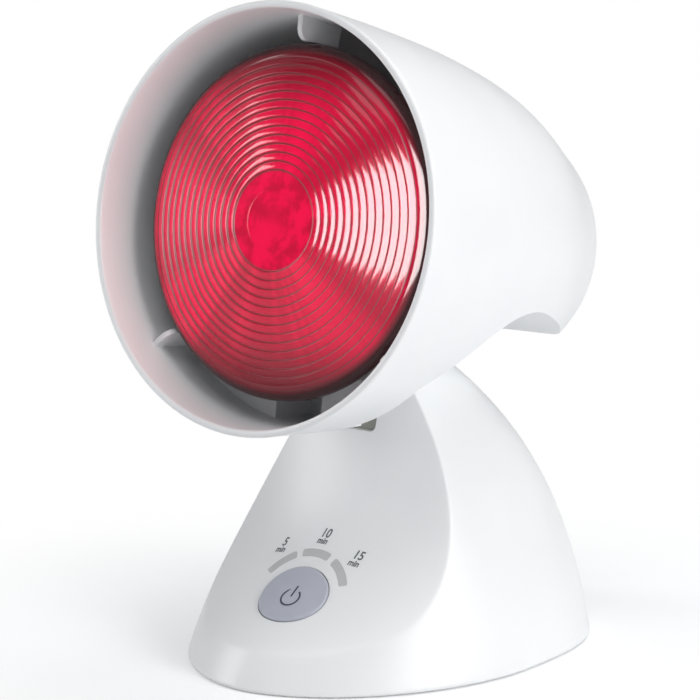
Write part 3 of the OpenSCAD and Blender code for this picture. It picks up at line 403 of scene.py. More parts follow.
# all the grids of one skin of the shade: the front ring, the arched strip behind it, the notch under the
# front, the front wall and the ceiling of the scoop, all meeting point to point
def skinGrids(inset, grow):
    wallAt, back, half = shade["frontWall"] - grow, shade["notchBack"] - grow, shade["notchHalf"] - grow
    length = shade["length"] - inset
    radius = lambda s: shadeRadius(s, inset)
    nMain, nEdge, nNotch = 150, 20, 16
    edgeOf = lambda s: scoopCeiling(s, np.full_like(s, 1e3), grow)

    def cutAngle(s):
        r = np.maximum(radius(s), 1e-6)
        gap = edgeOf(s) + r
        return np.where(gap > 0.03, np.arccos(np.clip(-edgeOf(s) / r, -1, 1)), 0)

    def spread(a, b, n):
        t = np.linspace(0, 1, n + 1)
        return a[:, None] * (1 - t) + b[:, None] * t

    def onSkin(s, phi):
        r = radius(s)[:, None]
        return np.stack([r * np.sin(phi), np.broadcast_to(s[:, None], phi.shape), -r * np.cos(phi)], axis=-1)

    def sheet(x, s, v):
        return np.stack(np.broadcast_arrays(x, s, v), axis=-1)

    sFront = np.linspace(shade["lip"], wallAt, 16)
    sNotch = np.linspace(wallAt, back, 14)
    sTail = back + (length - back) * np.sin(np.linspace(0, np.pi / 2, 130))
    first = cutAngle(np.array([wallAt]))
    cut0 = np.full_like(sFront, first[0])
    notch = np.arcsin(half / radius(sFront))
    ringPhi = np.concatenate([
        spread(notch, cut0, nEdge), spread(cut0, 2 * np.pi - cut0, nMain)[:, 1:],
        spread(2 * np.pi - cut0, 2 * np.pi - notch, nEdge)[:, 1:],
        spread(2 * np.pi - notch, 2 * np.pi + notch, nNotch)[:, 1:]], axis=1)
    ring = onSkin(sFront, ringPhi)
    sRear = np.concatenate([sNotch, sTail[1:]])
    cut = cutAngle(sRear)
    strip = onSkin(sRear, spread(cut, 2 * np.pi - cut, nMain))
    nPhi = np.arcsin(half / radius(sNotch))
    floorPhi = spread(-nPhi, nPhi, nNotch)
    notchFloor = onSkin(sNotch, floorPhi)

    up = np.linspace(0, 1, 8)[:, None]
    wallPhi = spread(notch[-1:], cut0[-1:], nEdge)[0]
    wallX, wallLow = radius(np.array([wallAt])) * np.sin(wallPhi), -radius(np.array([wallAt])) * np.cos(wallPhi)
    wallTop = scoopCeiling(np.full_like(wallX, wallAt), wallX, grow)
    wallTop[-1] = wallLow[-1]
    frontWall = sheet(wallX, wallAt, wallLow + (wallTop - wallLow) * up)
    sideLow = -np.sqrt(radius(sNotch) ** 2 - half**2)
    sideTop = scoopCeiling(sNotch, np.full_like(sNotch, half), grow)
    notchSide = sheet(half, sNotch, sideLow + (sideTop - sideLow) * up)
    rBack = radius(np.array([back]))
    backX, backLow = rBack * np.sin(floorPhi[-1]), -rBack * np.cos(floorPhi[-1])
    backTop = scoopCeiling(np.full_like(backX, back), backX, grow)
    notchWall = sheet(backX, back, backLow + (backTop - backLow) * up)

    reach = radius(sRear) * np.sin(cut)
    share = (wallX - half) / (wallX[-1] - half)
    sideX = half + share * (reach[:len(sNotch), None] - half)
    sideV = scoopCeiling(np.broadcast_to(sNotch[:, None], sideX.shape), sideX, grow)
    sideV[:, -1] = edgeOf(sNotch)
    ceilingSide = sheet(sideX, sNotch[:, None], sideV)
    tailReach = reach[len(sNotch) - 1:]
    edgeX = half + share * (tailReach[0] - half)
    rowX = np.concatenate([-edgeX[::-1], backX[1:-1], edgeX])
    tailX = rowX * (tailReach / tailReach[0])[:, None]
    sT = np.broadcast_to(sTail[:, None], tailX.shape)
    tailV = scoopCeiling(sT, tailX, grow)
    tailV = np.where(tailReach[:, None] > 0, tailV, -radius(sTail)[:, None])
    tailV[:, 0] = tailV[:, -1] = np.where(tailReach > 0, edgeOf(sTail), -radius(sTail))
    ceiling = sheet(tailX, sT, tailV)
    flip = np.array([-1, 1, 1])
    grids = [ring, strip, notchFloor, frontWall, frontWall * flip, notchSide, notchSide * flip, notchWall,
             ceilingSide, ceilingSide * flip, ceiling]
    return grids, ringPhi[0]


# the shade: outer and inner skin joined by a half-round lip at the mouth
def makeShade(mat):
    outer, outPhi = skinGrids(0.0, 0.0)
    inner, inPhi = skinGrids(shade["wall"], shade["scoopWall"])
    turn = np.linspace(0, np.pi, 9)[:, None]
    mixPhi = outPhi + (inPhi - outPhi) * (turn / np.pi)
    ends = shadeRadius(np.array([shade["lip"]])), shadeRadius(np.array([shade["lip"]]), shade["wall"])
    r = (ends[0] + ends[1]) / 2 + (ends[0] - ends[1]) / 2 * np.cos(turn)
    s = shade["lip"] * (1 - np.sin(turn))
    lip = np.stack([r * np.sin(mixPhi), s + 0 * mixPhi, -r * np.cos(mixPhi)], axis=-1)
    obj = gridsToObject("shadeShell", outer + inner + [lip], fromShade, weld=0.02)
    return place(obj, mat, "head", "white_plastic", "shade")


# the three ribs that centre the bulb: a flat web with a quarter-round front corner
def makeRibs(mat):
    rib = dict(thick=2.0, front=13.6, corner=4.6, inner=61.7, back=35.0, angles=(180, 48, -48))
    arc = np.linspace(np.pi, 1.5 * np.pi, 9)
    c = rib["front"] + rib["corner"], rib["inner"] + rib["corner"]
    curve = np.column_stack([c[0] + rib["corner"] * np.cos(arc), c[1] + rib["corner"] * np.sin(arc)])
    web = np.vstack([[rib["front"], 71.6], curve, [rib["back"], rib["inner"]], [rib["back"] + 1, 69.6]])
    grids = []
    for degrees in rib["angles"]:
        a = math.radians(degrees)
        flat = prismGrid(web, -rib["thick"] / 2, rib["thick"] / 2)
        s, out, side = flat[..., 0], flat[..., 1], flat[..., 2]
        grids.append(np.stack([out * math.sin(a) + side * math.cos(a), s,
                               -out * math.cos(a) + side * math.sin(a)], axis=-1))
    obj = gridsToObject("bulbRibs", grids, fromShade)
    soften(obj, 0.35)
    return place(obj, mat, "head", "white_plastic")


# rounds the sharp edges of a piece by a small radius
def soften(obj, width, segments=2, angle=30):
    mod = obj.modifiers.new("softEdge", "BEVEL")
    mod.width = width * mm
    mod.segments = segments
    mod.limit_method = "ANGLE"
    mod.angle_limit = math.radians(angle)
    mod.harden_normals = False
    applyModifiers(obj)
    obj.data.shade_smooth()
    return obj


# the seat that the arm is screwed to: a block moulded on the scoop's ceiling
def makeSeat(mat):
    seat = dict(half=14.0, front=74.3, back=103.9, low=-24.7, high=-21.8)
    x = np.array([-seat["half"], seat["half"], seat["half"], -seat["half"]])
    s = np.array([seat["front"], seat["front"], seat["back"], seat["back"]])
    grid = prismGrid(np.column_stack([x, s]), seat["low"], seat["high"])
    obj = gridsToObject("armSeat", [grid], fromShade)
    soften(obj, 0.4)
    return place(obj, mat, "head", "white_plastic")


# ---- bulb ----

# height of the lens at a radius: a shallow dome whose edge falls away in a quarter turn
def lensFace(r):
    dome = bulb["front"] + bulb["rise"] * 0.72 * (r / bulb["radius"]) ** 2
    fall = np.clip((r - 56.5) / 4.5, 0, 1)
    return dome + 2.6 * (1 - np.sqrt(np.maximum(1 - fall**2, 0)))


# the lens: a dome with stepped rings pressed into it, each a slightly convex slope to the outside and a short
# smooth step back up to the next
def makeLens(mat):
    r = np.concatenate([np.linspace(0, bulb["bare"] - 0.4, 14), np.linspace(bulb["bare"], bulb["ringsFrom"], 12),
                        np.linspace(bulb["ringsFrom"], bulb["ringsTo"], 235)[1:],
                        np.linspace(bulb["ringsTo"], 60.99, 30)[1:]])
    share = np.mod((r - bulb["ringsFrom"]) / bulb["pitch"], 1)
    inRings = (r >= bulb["ringsFrom"]) & (r <= bulb["ringsTo"])
    lean = (share - bulb["step"]) / (1 - bulb["step"])
    facet = 1 - lean + 0.4 * lean * (1 - lean)
    step = share / bulb["step"]
    ridge = np.where(inRings, np.where(lean > 0, facet, step * step * (3 - 2 * step)), 0) * bulb["ridge"]
    border = 0.1 * np.exp(-((r - bulb["bare"]) / 0.35) ** 2)
    s = lensFace(r) - ridge - border
    side = [[bulb["radius"], s[-1] + 0.5], [bulb["radius"], bulb["edge"] + 2.0], [54.0, bulb["edge"] + 2.0],
            [50.0, bulb["edge"] - 1.0], [30.0, bulb["front"] + 5.2], [0.0, bulb["front"] + 3.2]]
    profile = np.vstack([np.column_stack([r, s]), side])
    obj = gridsToObject("bulbLensGlass", [turnProfile(profile, 240)], fromShade, crease=50)
    co = np.empty(len(obj.data.vertices) * 3)
    obj.data.vertices.foreach_get("co", co)
    a = math.radians(shade["tilt"])
    p = co.reshape(-1, 3) / mm - np.array([0, shade["mouthY"], shade["mouthZ"]])
    v = p[:, 1] * math.sin(a) + p[:, 2] * math.cos(a)
    reach = np.hypot(p[:, 0], v)
    # marks the grooves on the points: painted shade darkens them there and the gloss turns matt
    share = np.mod((reach - bulb["ringsFrom"]) / bulb["pitch"] + 0.4, 1) - 0.5
    grooveShadeMask = np.exp(-(share / 0.12) ** 2) * ((reach > bulb["ringsFrom"] - 0.5) & (reach < bulb["ringsTo"] + 0.5))
    layer = obj.data.attributes.new("groove", "FLOAT", "POINT")
    layer.data.foreach_set("value", grooveShadeMask.astype(np.float32))
    return place(obj, mat, "head", "red_glass", "bulb_lens")


# the reflector: a paraboloid of glass, silvered inside, down to the metal skirt
def makeBowl(mat):
    s = np.linspace(bulb["edge"] + 2.0, bulb["edge"] + bulb["bowl"] * (1 - (bulb["skirt"] / bulb["radius"]) ** 2), 60)
    r = bulbRadius(s)
    inner = np.column_stack([r - bulb["glass"], s + 0.4])[::-1]
    profile = np.vstack([np.column_stack([r, s]), inner, [[r[0], s[0]]]])
    obj = gridsToObject("bulbReflector", [turnProfile(profile, 160)], fromShade, crease=50)
    return place(obj, mat, "head", "silvered_glass", "bulb_bowl")


# ---- foot ----

foot = dict(halfWidth=65.6, front=82.2, rear=74.2, middle=-10.3, close=121.5, top=114.0, wall=2.5, edge=1.6,
            padHeight=0.5, panelRadius=107.0, panelBow=116.0, panelY=-126.5, panelZ=112.4, minHalf=8.0,
            frontSquare=1.83, rearSquare=3.112, softLow=2.4, softHigh=0.7, softTo=70.0)
control = dict(height=27.4, lightRadius=18.7, lightWidth=3.0, lightSpan=36.5, lightStep=44.0, gap=0.3)


# what is left of a width at a height: (1 - (z / close) ^ rise) ^ (1 / round)
def fall(z, rise, roundness):
    return np.maximum(1 - (np.maximum(z, 0) / foot["close"]) ** rise, 0) ** (1 / roundness)


# the foot's reach to the side, to the front and to the back at a height
def footReach(z):
    return (foot["halfWidth"] * fall(z, 1.244, 1.3), foot["front"] * fall(z, 1.0, 1.259),
            foot["rear"] * fall(z, 3.024, 0.888))


# front of the foot's body: a superellipse across the width
def bodyFrontY(x, z):
    w, a, b = footReach(z)
    n = foot["frontSquare"]
    return foot["middle"] - a * np.maximum(1 - np.clip(np.abs(x) / w, 0, 1) ** n, 0) ** (1 / n)


# the greater of two heights with their meeting rounded: half of their sum and of the root of their
# difference squared plus the rounding squared; the rounding narrows from the table to the neck
def softMeet(a, b, z):
    share = np.clip((z - 12) / (foot["softTo"] - 12), 0, 1)
    k = foot["softLow"] + (foot["softHigh"] - foot["softLow"]) * np.sqrt(share)
    return 0.5 * (a + b + np.sqrt((a - b) ** 2 + k * k))


# the front panel: the inside of a ring, hollow from the side, whose radius grows with x squared
def panelY(x, z):
    r = foot["panelRadius"] + foot["panelBow"] - np.sqrt(foot["panelBow"] ** 2 - x * x)
    return foot["panelY"] + np.sqrt(np.maximum(r * r - (z - foot["panelZ"]) ** 2, 0))


# half width of the panel at each height, by halving between the middle and the side
def panelHalf(z):
    low, high = np.zeros_like(z), footReach(z)[0].copy()
    for step in range(30):
        x = (low + high) / 2
        inside = panelY(x, z) > bodyFrontY(x, z)
        low, high = np.where(inside, x, low), np.where(inside, high, x)
    return (low + high) / 2


# lowest height at which the panel cuts the body, by halving
def panelLow():
    low, high = 5.0, 40.0
    for step in range(40):
        z = np.array([(low + high) / 2])
        if panelY(np.zeros(1), z)[0] > bodyFrontY(np.zeros(1), z)[0]:
            high = z[0]
        else:
            low = z[0]
    return low


# a closed body in the foot's form, shrunk by an inset and shut at both ends: level rows of points, the panel's
# columns first, then the body's from the crease round the back; the crease is where both meet
def footBody(inset, base, top, rows=190):
    low = panelLow()
    down = 1 - (1 - np.linspace(0, 1, 24)[:-1]) ** 2
    z = np.concatenate([base + (low - base) * down, low + (top - low) * np.linspace(0, 1, rows) ** 1.9])
    trim = np.full_like(z, inset)
    if inset == 0:
        edge = foot["edge"] * np.array([0, 0.04, 0.15, 0.32, 0.55, 0.8])
        z = np.concatenate([base + edge, z + (z < low) * foot["edge"] * (low - z) / (low - base)])
        turn = np.clip((foot["edge"] - (z - base)) / foot["edge"], 0, 1)
        trim = foot["edge"] * 0.8 * (1 - np.sqrt(np.maximum(1 - turn**2, 0)))
    w, a, b = [reach - trim for reach in footReach(z)]
    half = np.minimum(np.maximum(panelHalf(z) - inset, foot["minHalf"] - inset), w * 0.9)
    n, m = foot["frontSquare"], foot["rearSquare"]
    px = half[:, None] * np.sin(np.linspace(-np.pi / 2, np.pi / 2, 81))
    zz = np.broadcast_to(z[:, None], px.shape)
    front = foot["middle"] - a[:, None] * np.maximum(1 - np.abs(px / w[:, None]) ** n, 0) ** (1 / n)
    start = np.arccos((half / w) ** (n / 2))
    q = start[:, None] * (1 - np.linspace(0, 1, 49)[1:] ** 1.7)
    rx = w[:, None] * np.cos(q) ** (2 / n)
    ry = foot["middle"] - a[:, None] * np.sin(q) ** (2 / n)
    if inset:
        py = np.maximum(panelY(px, zz) + inset, front)
        ry = np.maximum(ry, np.where(zz[:, :1] > low, panelY(rx, zz[:, :1]) + inset, ry))
    else:
        py = softMeet(panelY(px, zz), front, zz)
        ry = softMeet(panelY(rx, zz[:, :1]), ry, zz[:, :1])
    back = np.linspace(0, np.pi, 91)[1:]
    bx = w[:, None] * np.sign(np.cos(back)) * np.abs(np.cos(back)) ** (2 / m)
    by = foot["middle"] + b[:, None] * np.maximum(np.sin(back), 0) ** (2 / m)
    x = np.concatenate([px, rx, bx, -rx[:, ::-1][:, 1:], px[:, :1]], axis=1)
    y = np.concatenate([py, ry, by, ry[:, ::-1][:, 1:], py[:, :1]], axis=1)
    side = np.stack([x, y, np.broadcast_to(z[:, None], x.shape)], axis=-1)
    ends = [np.stack([side[k], side[k] * 0 + side[k].mean(axis=0)]) for k in (0, -1)]
    return [side] + ends


# the panel's lean at the button, and its depth there
panelLean = math.pi / 2 - math.asin((foot["panelZ"] - control["height"]) / foot["panelRadius"])
controlY = float(panelY(np.zeros(1), np.array([control["height"]]))[0])


# points of the panel's own directions (across, up the panel, out of it) carried to the frame: a turn about X
# by the lean, then out to the button's middle
def fromPanel(p):
    c, s = math.cos(panelLean), math.sin(panelLean)
    return np.stack([p[..., 0], controlY + p[..., 1] * c - p[..., 2] * s,
                     control["height"] + p[..., 1] * s + p[..., 2] * c], axis=-1)


# lays points on the curved panel: from (across, up) on the flat the surface lies out by the hollow's rise
# less the bow's fall; the third value stands off it
def ontoPanel(p):
    x, t, out = p[..., 0], p[..., 1], p[..., 2]
    bow = foot["panelBow"] - np.sqrt(foot["panelBow"] ** 2 - x * x)
    r = foot["panelRadius"] + bow
    rise = foot["panelRadius"] - np.sqrt(r * r - t * t)
    return fromPanel(np.stack([x, t, rise + out], axis=-1))


# the button's outline: an ellipse between its four edges, whose middle lies beside the strips' middle
def pebble(grow=0.0, count=120):
    button = dict(left=-13.4, right=13.8, top=12.5, bottom=-12.1)
    a = np.linspace(0, 2 * np.pi, count, endpoint=False)
    cx, cy = (button["left"] + button["right"]) / 2, (button["top"] + button["bottom"]) / 2
    rx, ry = (button["right"] - button["left"]) / 2 + grow, (button["top"] - button["bottom"]) / 2 + grow
    return np.column_stack([cx + rx * np.cos(a), cy + ry * np.sin(a)])


# a strip's outline: two arcs about the button's middle, its corners rounded
def stripOutline(turn, grow=0.0):
    half, mid = control["lightWidth"] / 2 + grow, control["lightRadius"]
    span = math.radians(control["lightSpan"] / 2) + grow / mid
    corner = 0.75 / mid
    a = np.linspace(-span + corner, span - corner, 20)
    q = np.linspace(0, np.pi / 2, 6)
    outer = np.column_stack([(mid + half) * np.sin(a), (mid + half) * np.cos(a)])
    endA = span - corner + corner * np.sin(q)
    endR = half - corner * mid * (1 - np.cos(q))
    endB = np.concatenate([endA, endA[::-1]])
    rB = np.concatenate([mid + endR, (mid - endR)[::-1]])
    right = np.column_stack([rB * np.sin(endB), rB * np.cos(endB)])
    inner = np.column_stack([(mid - half) * np.sin(a[::-1]), (mid - half) * np.cos(a[::-1])])
    left = (right * [-1, 1])[::-1]
    ring = np.vstack([outer[1:-1], right, inner[1:-1], left])
    t = math.radians(turn)
    return ring @ np.array([[math.cos(t), -math.sin(t)], [math.sin(t), math.cos(t)]])


# the foot's shell: its skin thickened inward, then opened for the arm, the button, the strips and the cord bush
def makeFoot(mat):
    slotAt = dict(half=7.5, low=80.7, rearLow=98.0, corner=2.0)
    bush = dict(radius=6.0, height=14.0, reach=10.0)
    cutDepth = -5, 6
    obj = gridsToObject("footShell", footBody(0.0, foot["padHeight"], foot["top"]), crease=20, weld=0.005)
    cutOut(obj, gridsToObject("hollow", footBody(foot["wall"], foot["padHeight"] - 0.4, 108.5, 60), weld=0.005))
    h, c, low = slotAt["half"], slotAt["corner"], slotAt["low"]
    q = np.linspace(np.pi, 1.5 * np.pi, 7)
    left = np.column_stack([-h + c + c * np.cos(q), low + c + c * np.sin(q)])
    outline = np.vstack([[-h, 130], left, (left * [-1, 1])[::-1], [h, 130]])
    window = prismGrid(outline, 0, 60)
    window = np.stack([window[..., 0], foot["middle"] - window[..., 2], window[..., 1]], axis=-1)
    box = prismGrid(np.array([[-h, -0.4], [h, -0.4], [h, 60], [-h, 60]]), slotAt["rearLow"], 131)
    box[..., 1] += foot["middle"]
    angle = np.linspace(0, 2 * np.pi, 48, endpoint=False)
    bushY = float(foot["middle"] + footReach(np.array([bush["height"]]))[2][0])
    ring = bush["radius"] * np.column_stack([np.cos(angle), np.sin(angle)])
    hole = prismGrid(ring, -bush["reach"], bush["reach"])
    hole = np.stack([hole[..., 0], bushY + hole[..., 2], bush["height"] + hole[..., 1]], axis=-1)
    cuts = [fromPanel(prismGrid(pebble(control["gap"]), *cutDepth))]
    cuts += [fromPanel(prismGrid(stripOutline(k * control["lightStep"], 0.05), *cutDepth)) for k in (-1, 0, 1)]
    for grid in cuts + [window, box, hole]:
        cutOut(obj, gridsToObject("cutter", [grid]))
    obj.name = "footShell"
    softenCrease(obj)
    return place(obj, mat, "foot", "white_plastic", "foot_shell")


# the guard behind the slot: a thin plate that follows the back of the panel under the hinge
def makeGuard(mat):
    guard = dict(half=9.5, low=77.0, high=85.0, behind=2.6, thick=1.0)
    x = np.concatenate([np.linspace(-1, 1, 13)[:-1], np.ones(7), np.linspace(1, -1, 13)[1:-1], -np.ones(7)])
    z = np.concatenate([-np.ones(12), np.linspace(-1, 1, 7), np.ones(11), np.linspace(1, -1, 7)])
    tall = (guard["high"] - guard["low"]) / 2
    grid = prismGrid(np.column_stack([x * guard["half"], z * tall + guard["low"] + tall]), 0, guard["thick"])
    across, up, deep = grid[..., 0], grid[..., 1], grid[..., 2]
    laid = np.stack([across, panelY(across, up) + guard["behind"] + deep, up], axis=-1)
    obj = gridsToObject("slotGuard", [laid])
    soften(obj, 0.2)
    return place(obj, mat, "foot", "arm_plastic")


# marks a cut piece's faces smooth and its corners sharp
def softenCrease(obj, crease=28):
    mesh = obj.data
    work = bmesh.new()
    work.from_mesh(mesh)
    for face in work.faces:
        face.smooth = True
    for edge in work.edges:
        edge.smooth = not (len(edge.link_faces) == 2 and edge.calc_face_angle(0) > math.radians(crease))
    work.to_mesh(mesh)
    work.free()


# a cap with a crowned face: rings shrink from the outline to the middle while the height follows a quarter
# round at the edge and a shallow dome inside it
def crownedCap(outline, edge, crown, depth, lay):
    middle = outline.mean(axis=0)
    outline = np.vstack([outline, outline[:1]])
    q = np.linspace(0, np.pi / 2, 7)
    size = np.linalg.norm(outline - middle, axis=1).mean()
    rings = [(1.0, -depth)] + [(1 - edge * (1 - math.cos(a)) / size, crown[0] - edge * (1 - math.sin(a))) for a in q]
    top = 1 - edge / size
    rings += [(top * k, crown[0] + crown[1] * (1 - k * k)) for k in np.linspace(0.93, 0, 12)]
    grid = np.stack([np.column_stack([middle + (outline - middle) * k, np.full(len(outline), h)]) for k, h in rings])
    under = grid[0].copy()
    under[:, :2] = middle
    return lay(np.concatenate([under[None], grid]))


# the button: a crowned cap on the pebble's outline, with its power mark printed on it as an open ring and a bar
def makeButton(mat, ink):
    cap = dict(edge=0.7, proud=0.75, dome=0.35, depth=3.0)
    grid = crownedCap(pebble(), cap["edge"], (cap["proud"], cap["dome"]), cap["depth"], ontoPanel)
    obj = gridsToObject("timerButton", [grid], crease=50)
    place(obj, mat, "button", "button_plastic", "power_button")
    mark = dict(x=0.6, y=-1.5, ring=3.6, line=0.7, gap=33, lean=4, barFrom=0.3, barTo=5.2,
                lift=cap["proud"] + cap["dome"] + 0.02)
    a = np.radians(np.linspace(mark["gap"], 360 - mark["gap"], 60)) + math.radians(mark["lean"])
    ring = np.stack([np.column_stack([mark["x"] + r * np.sin(a), mark["y"] + r * np.cos(a)])
                     for r in (mark["ring"] - mark["line"] / 2, mark["ring"] + mark["line"] / 2)])
    ring = np.concatenate([ring, np.full(ring.shape[:2] + (1,), mark["lift"] - 0.03)], axis=2)
    lean = math.radians(mark["lean"])  # the bar leans with the ring's gap
    along = np.array([math.sin(lean), math.cos(lean)])
    across = np.array([along[1], -along[0]]) * mark["line"] / 2
    centre = np.array([mark["x"], mark["y"]])
    bar = np.stack([[centre + along * d + across * k for k in (-1, 1)] for d in (mark["barFrom"], mark["barTo"])])
    bar = np.concatenate([bar, np.full(bar.shape[:2] + (1,), mark["lift"])], axis=2)
    sign = gridsToObject("powerMark", [ontoPanel(ring), ontoPanel(bar)], crease=50, outward=False)
    return obj, place(sign, ink, "button", "button_plastic")


# the three light strips, turned about the button's middle by equal steps
def makeStrips(mat):
    strip = dict(edge=0.3, proud=0.06, dome=0.0, depth=3.5)
    made = []
    for turn, label in ((1, "5"), (0, "10"), (-1, "15")):
        outline = stripOutline(turn * control["lightStep"])
        obj = gridsToObject("lightStrip" + label, [stripGrid(outline, strip)], crease=50)
        made.append(place(obj, mat, "foot", "light_guide", "light_strip_" + label))
    return made


# a long strip: its outline carried down into its slot, and its face closed across from side to side
def stripGrid(outline, strip):
    n = len(outline)
    ring = np.vstack([outline, outline[:1]])
    layers = [np.column_stack([ring, np.full(n + 1, h)]) for h in (-strip["depth"], strip["proud"])]
    centre = np.array([np.sin(np.arctan2(ring[:, 0], ring[:, 1])), np.cos(np.arctan2(ring[:, 0], ring[:, 1]))]).T
    spine = centre * control["lightRadius"]
    face = np.column_stack([spine, np.full(n + 1, strip["proud"])])
    under = np.column_stack([spine, np.full(n + 1, -strip["depth"])])
    return ontoPanel(np.stack([under] + layers + [face]))


# the printed labels: flat letters made into a mesh, then laid on the panel
def makeLabels(ink):
    words = (("5", -16.4, 21.3, 4.8), ("min", -16.9, 18.2, 3.4),
             ("10", 0.1, 26.5, 4.8), ("min", -0.1, 23.5, 3.4),
             ("15", 16.6, 21.3, 4.8), ("min", 16.1, 18.0, 3.4))
    lettering = dict(shear=0.2, heavier=0.09, narrow=0.86, lift=0.03)
    for number, (text, x, t, size) in enumerate(words):
        curve = bpy.data.curves.new("word", "FONT")
        curve.body = text
        curve.size = size
        curve.shear = lettering["shear"]
        curve.offset = lettering["heavier"]
        curve.align_x = "CENTER"
        curve.align_y = "CENTER"
        letters = bpy.data.objects.new("word", curve)
        bpy.context.scene.collection.objects.link(letters)
        mesh = bpy.data.meshes.new_from_object(letters.evaluated_get(bpy.context.evaluated_depsgraph_get()))
        bpy.data.objects.remove(letters)
        co = np.empty(len(mesh.vertices) * 3)
        mesh.vertices.foreach_get("co", co)
        co = co.reshape(-1, 3)
        flat = np.column_stack([x + co[:, 0] * lettering["narrow"], t + co[:, 1], np.full(len(co), lettering["lift"])])
        laid = ontoPanel(flat)
        mesh.vertices.foreach_set("co", (laid * mm).ravel())
        obj = bpy.data.objects.new("label%d" % number, mesh)
        bpy.context.scene.collection.objects.link(obj)
        place(obj, ink, "foot", "light_guide")


# ---- build ----

white = mouldedWhite()
greyInk = printedInk("greyPrint", "#55575c")
slateInk = printedInk("slatePrint", "#3a3f4c")
makeShade(white)
makeRibs(white)
makeSeat(white)
makeLens(pressedRuby(shadeAxis))
makeBowl(silveredGlass())
print("shade and bulb made")
makeFoot(white)
armNylon = mouldedPlastic("greyNylon", "#9a9c94", 0.5)
makeGuard(armNylon)
makeButton(mouldedPlastic("satinGreyAbs", "#babdc8", 0.42), slateInk)
makeStrips(mouldedPlastic("frostedAcrylic", "#c6c7c7", 0.5))
makeLabels(greyInk)
print("foot and controls made")

finishes = {
    "rubber": mouldedPlastic("blackRubber", "#1d1d1e", 0.8, 0.3, 0.3),
    "steel": brushedMetal("zincPlatedSteel", "#b4b6b9", 0.32),
    "circuit_board": lacqueredBoard(),
    "black_plastic": mouldedPlastic("blackNylon", "#1c1c1d", 0.5),
    "wire_cover": mouldedPlastic("siliconeSleeve", "#d9d8d2", 0.55),
    "arm_plastic": armNylon,
    "brass": brushedMetal("turnedBrass", "#c9a75a", 0.3),
    "ceramic": glazedSteatite(),
    "cap_metal": brushedMetal("spunAluminium", "#cfd0d2", 0.28, (900, 60, 900)),
    "light_guide": mouldedPlastic("clearAcrylic", "#c9cbca", 0.3),
    "clear_glass": mouldedPlastic("fuseGlass", "#cfd4d6", 0.15),
    "white_plastic": white,
    "silvered_glass": silveredGlass(),
}
slotOf = {part["node"]: part["material_slot"] for part in frame["record"]["subparts"]}
for name, obj in nodes.items():
    finish = finishes.get(slotOf[name])
    if finish and not obj.hide_render:
        if not obj.material_slots:
            obj.data.materials.append(finish)
        for slot in obj.material_slots:
            slot.material = finish
print("finishes set")


# ---- light and camera ----

# a rectangular soft box at a spot, turned to what it lights
def softBox(name, spot, aim, size, watts):
    light = bpy.data.lights.new(name, "AREA")
    light.shape = "RECTANGLE"
    light.size, light.size_y = size
    light.energy = watts
    obj = bpy.data.objects.new(name, light)
    bpy.context.scene.collection.objects.link(obj)
    obj.location = spot
    obj.rotation_euler = pointAt(np.array(aim) - np.array(spot))
    return obj


# turns an object's -Z along a direction, with its Y up
def pointAt(direction):
    return mathutils.Vector(direction).to_track_quat("-Z", "Y").to_euler()


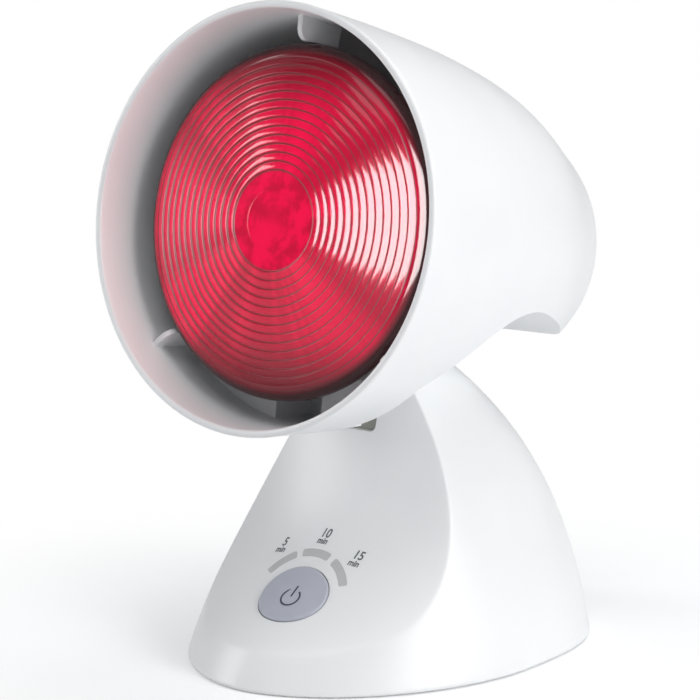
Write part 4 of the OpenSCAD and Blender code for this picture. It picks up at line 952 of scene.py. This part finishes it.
# white paper that fades to plain white for the camera away from the lamp, the world, and the soft boxes
def makeStage():
    studio = dict(floor="#f2f3f4", size=6.0, world=0.2, near=0.06, far=0.24, lift=0.2)
    x = np.linspace(-studio["size"], studio["size"], 3)
    grid = np.stack(np.broadcast_arrays(x[None, :], x[:, None], np.zeros((3, 3))), axis=-1) / mm
    floor = gridsToObject("studioFloor", [grid], outward=False)
    mat, tree, coords = newMaterial("studioPaper")
    rays = addNode(tree, "ShaderNodeLightPath")
    paper = addNode(tree, "ShaderNodeBsdfDiffuse", {"Color": hexColor(studio["floor"])})
    away = addNode(tree, "ShaderNodeVectorMath", {0: coords}, operation="LENGTH")
    out = addNode(tree, "ShaderNodeMapRange", {"Value": away.outputs["Value"], "From Min": studio["near"],
                                               "From Max": studio["far"]}, interpolation_type="SMOOTHSTEP")
    seen = addNode(tree, "ShaderNodeMath", {0: out.outputs[0], 1: rays.outputs["Is Camera Ray"]},
                   operation="MULTIPLY")
    glow = addNode(tree, "ShaderNodeMath", {0: rays.outputs["Is Camera Ray"], 1: studio["lift"]},
                   operation="MULTIPLY")
    lift = addNode(tree, "ShaderNodeEmission", {"Color": (1, 1, 1, 1), "Strength": glow.outputs[0]})
    lit = addNode(tree, "ShaderNodeAddShader", {0: paper.outputs[0], 1: lift.outputs[0]})
    plain = addNode(tree, "ShaderNodeEmission", {"Color": (1, 1, 1, 1), "Strength": 1.0})
    blend = addNode(tree, "ShaderNodeMixShader", {0: seen.outputs[0], 1: lit.outputs[0], 2: plain.outputs[0]})
    finishMaterial(tree, blend)
    floor.data.materials.append(mat)
    world = bpy.data.worlds.new("studio")
    bpy.context.scene.world = world
    world.use_nodes = True
    tree = world.node_tree
    tree.nodes.clear()
    rays = addNode(tree, "ShaderNodeLightPath")
    seen = addNode(tree, "ShaderNodeMath", {0: rays.outputs["Is Camera Ray"], 1: rays.outputs["Is Transmission Ray"]},
                   operation="MAXIMUM")
    level = addNode(tree, "ShaderNodeMapRange", {"Value": seen.outputs[0], "To Min": studio["world"], "To Max": 1.0})
    tone = addNode(tree, "ShaderNodeMix", {0: seen.outputs[0], 6: (0.93, 0.96, 1, 1), 7: (1, 1, 1, 1)},
                   data_type="RGBA")
    sky = addNode(tree, "ShaderNodeBackground", {"Color": tone.outputs[2], "Strength": level.outputs[0]})
    addNode(tree, "ShaderNodeOutputWorld", {"Surface": sky.outputs[0]})
    softBox("keyBox", (1.8, -0.1, 0.75), (0, 0, 0.12), (0.9, 1.1), 23)
    softBox("topBox", (0.1, -0.7, 1.65), (0, 0, 0.1), (1.2, 1.2), 7)
    softBox("rearBox", (0.3, 0.9, 1.5), (0, 0, 0.1), (1.0, 1.0), 8)
    softBox("fillBox", (-1.3, -0.8, 0.6), (0, 0, 0.12), (0.45, 0.9), 8)
    card = softBox("lensCard", (0.42, -1.5, 0.42), (0, -0.08, 0.16), (0.85, 1.3), 60)
    card.visible_diffuse = False
    glass = bpy.data.collections.new("glassOnly")
    glass.objects.link(bpy.data.objects["bulbLensGlass"])
    card.light_linking.receiver_collection = glass


# the camera, placed and aimed in millimetres as it was fitted to the lamp's outlines
def makeCamera():
    view = dict(spot=(536.0, -719.7, 253.2), aim=(29.4, -66.5, 118.0), lens=128.57)
    data = bpy.data.cameras.new("photoCamera")
    data.lens = view["lens"]
    data.sensor_width = 36.0
    obj = bpy.data.objects.new("photoCamera", data)
    bpy.context.scene.collection.objects.link(obj)
    obj.location = [c * mm for c in view["spot"]]
    obj.rotation_euler = pointAt([(b - a) * mm for a, b in zip(view["spot"], view["aim"])])
    bpy.context.scene.camera = obj


makeStage()
makeCamera()
bpy.context.scene.view_settings.view_transform = "Standard"
print("stage set")
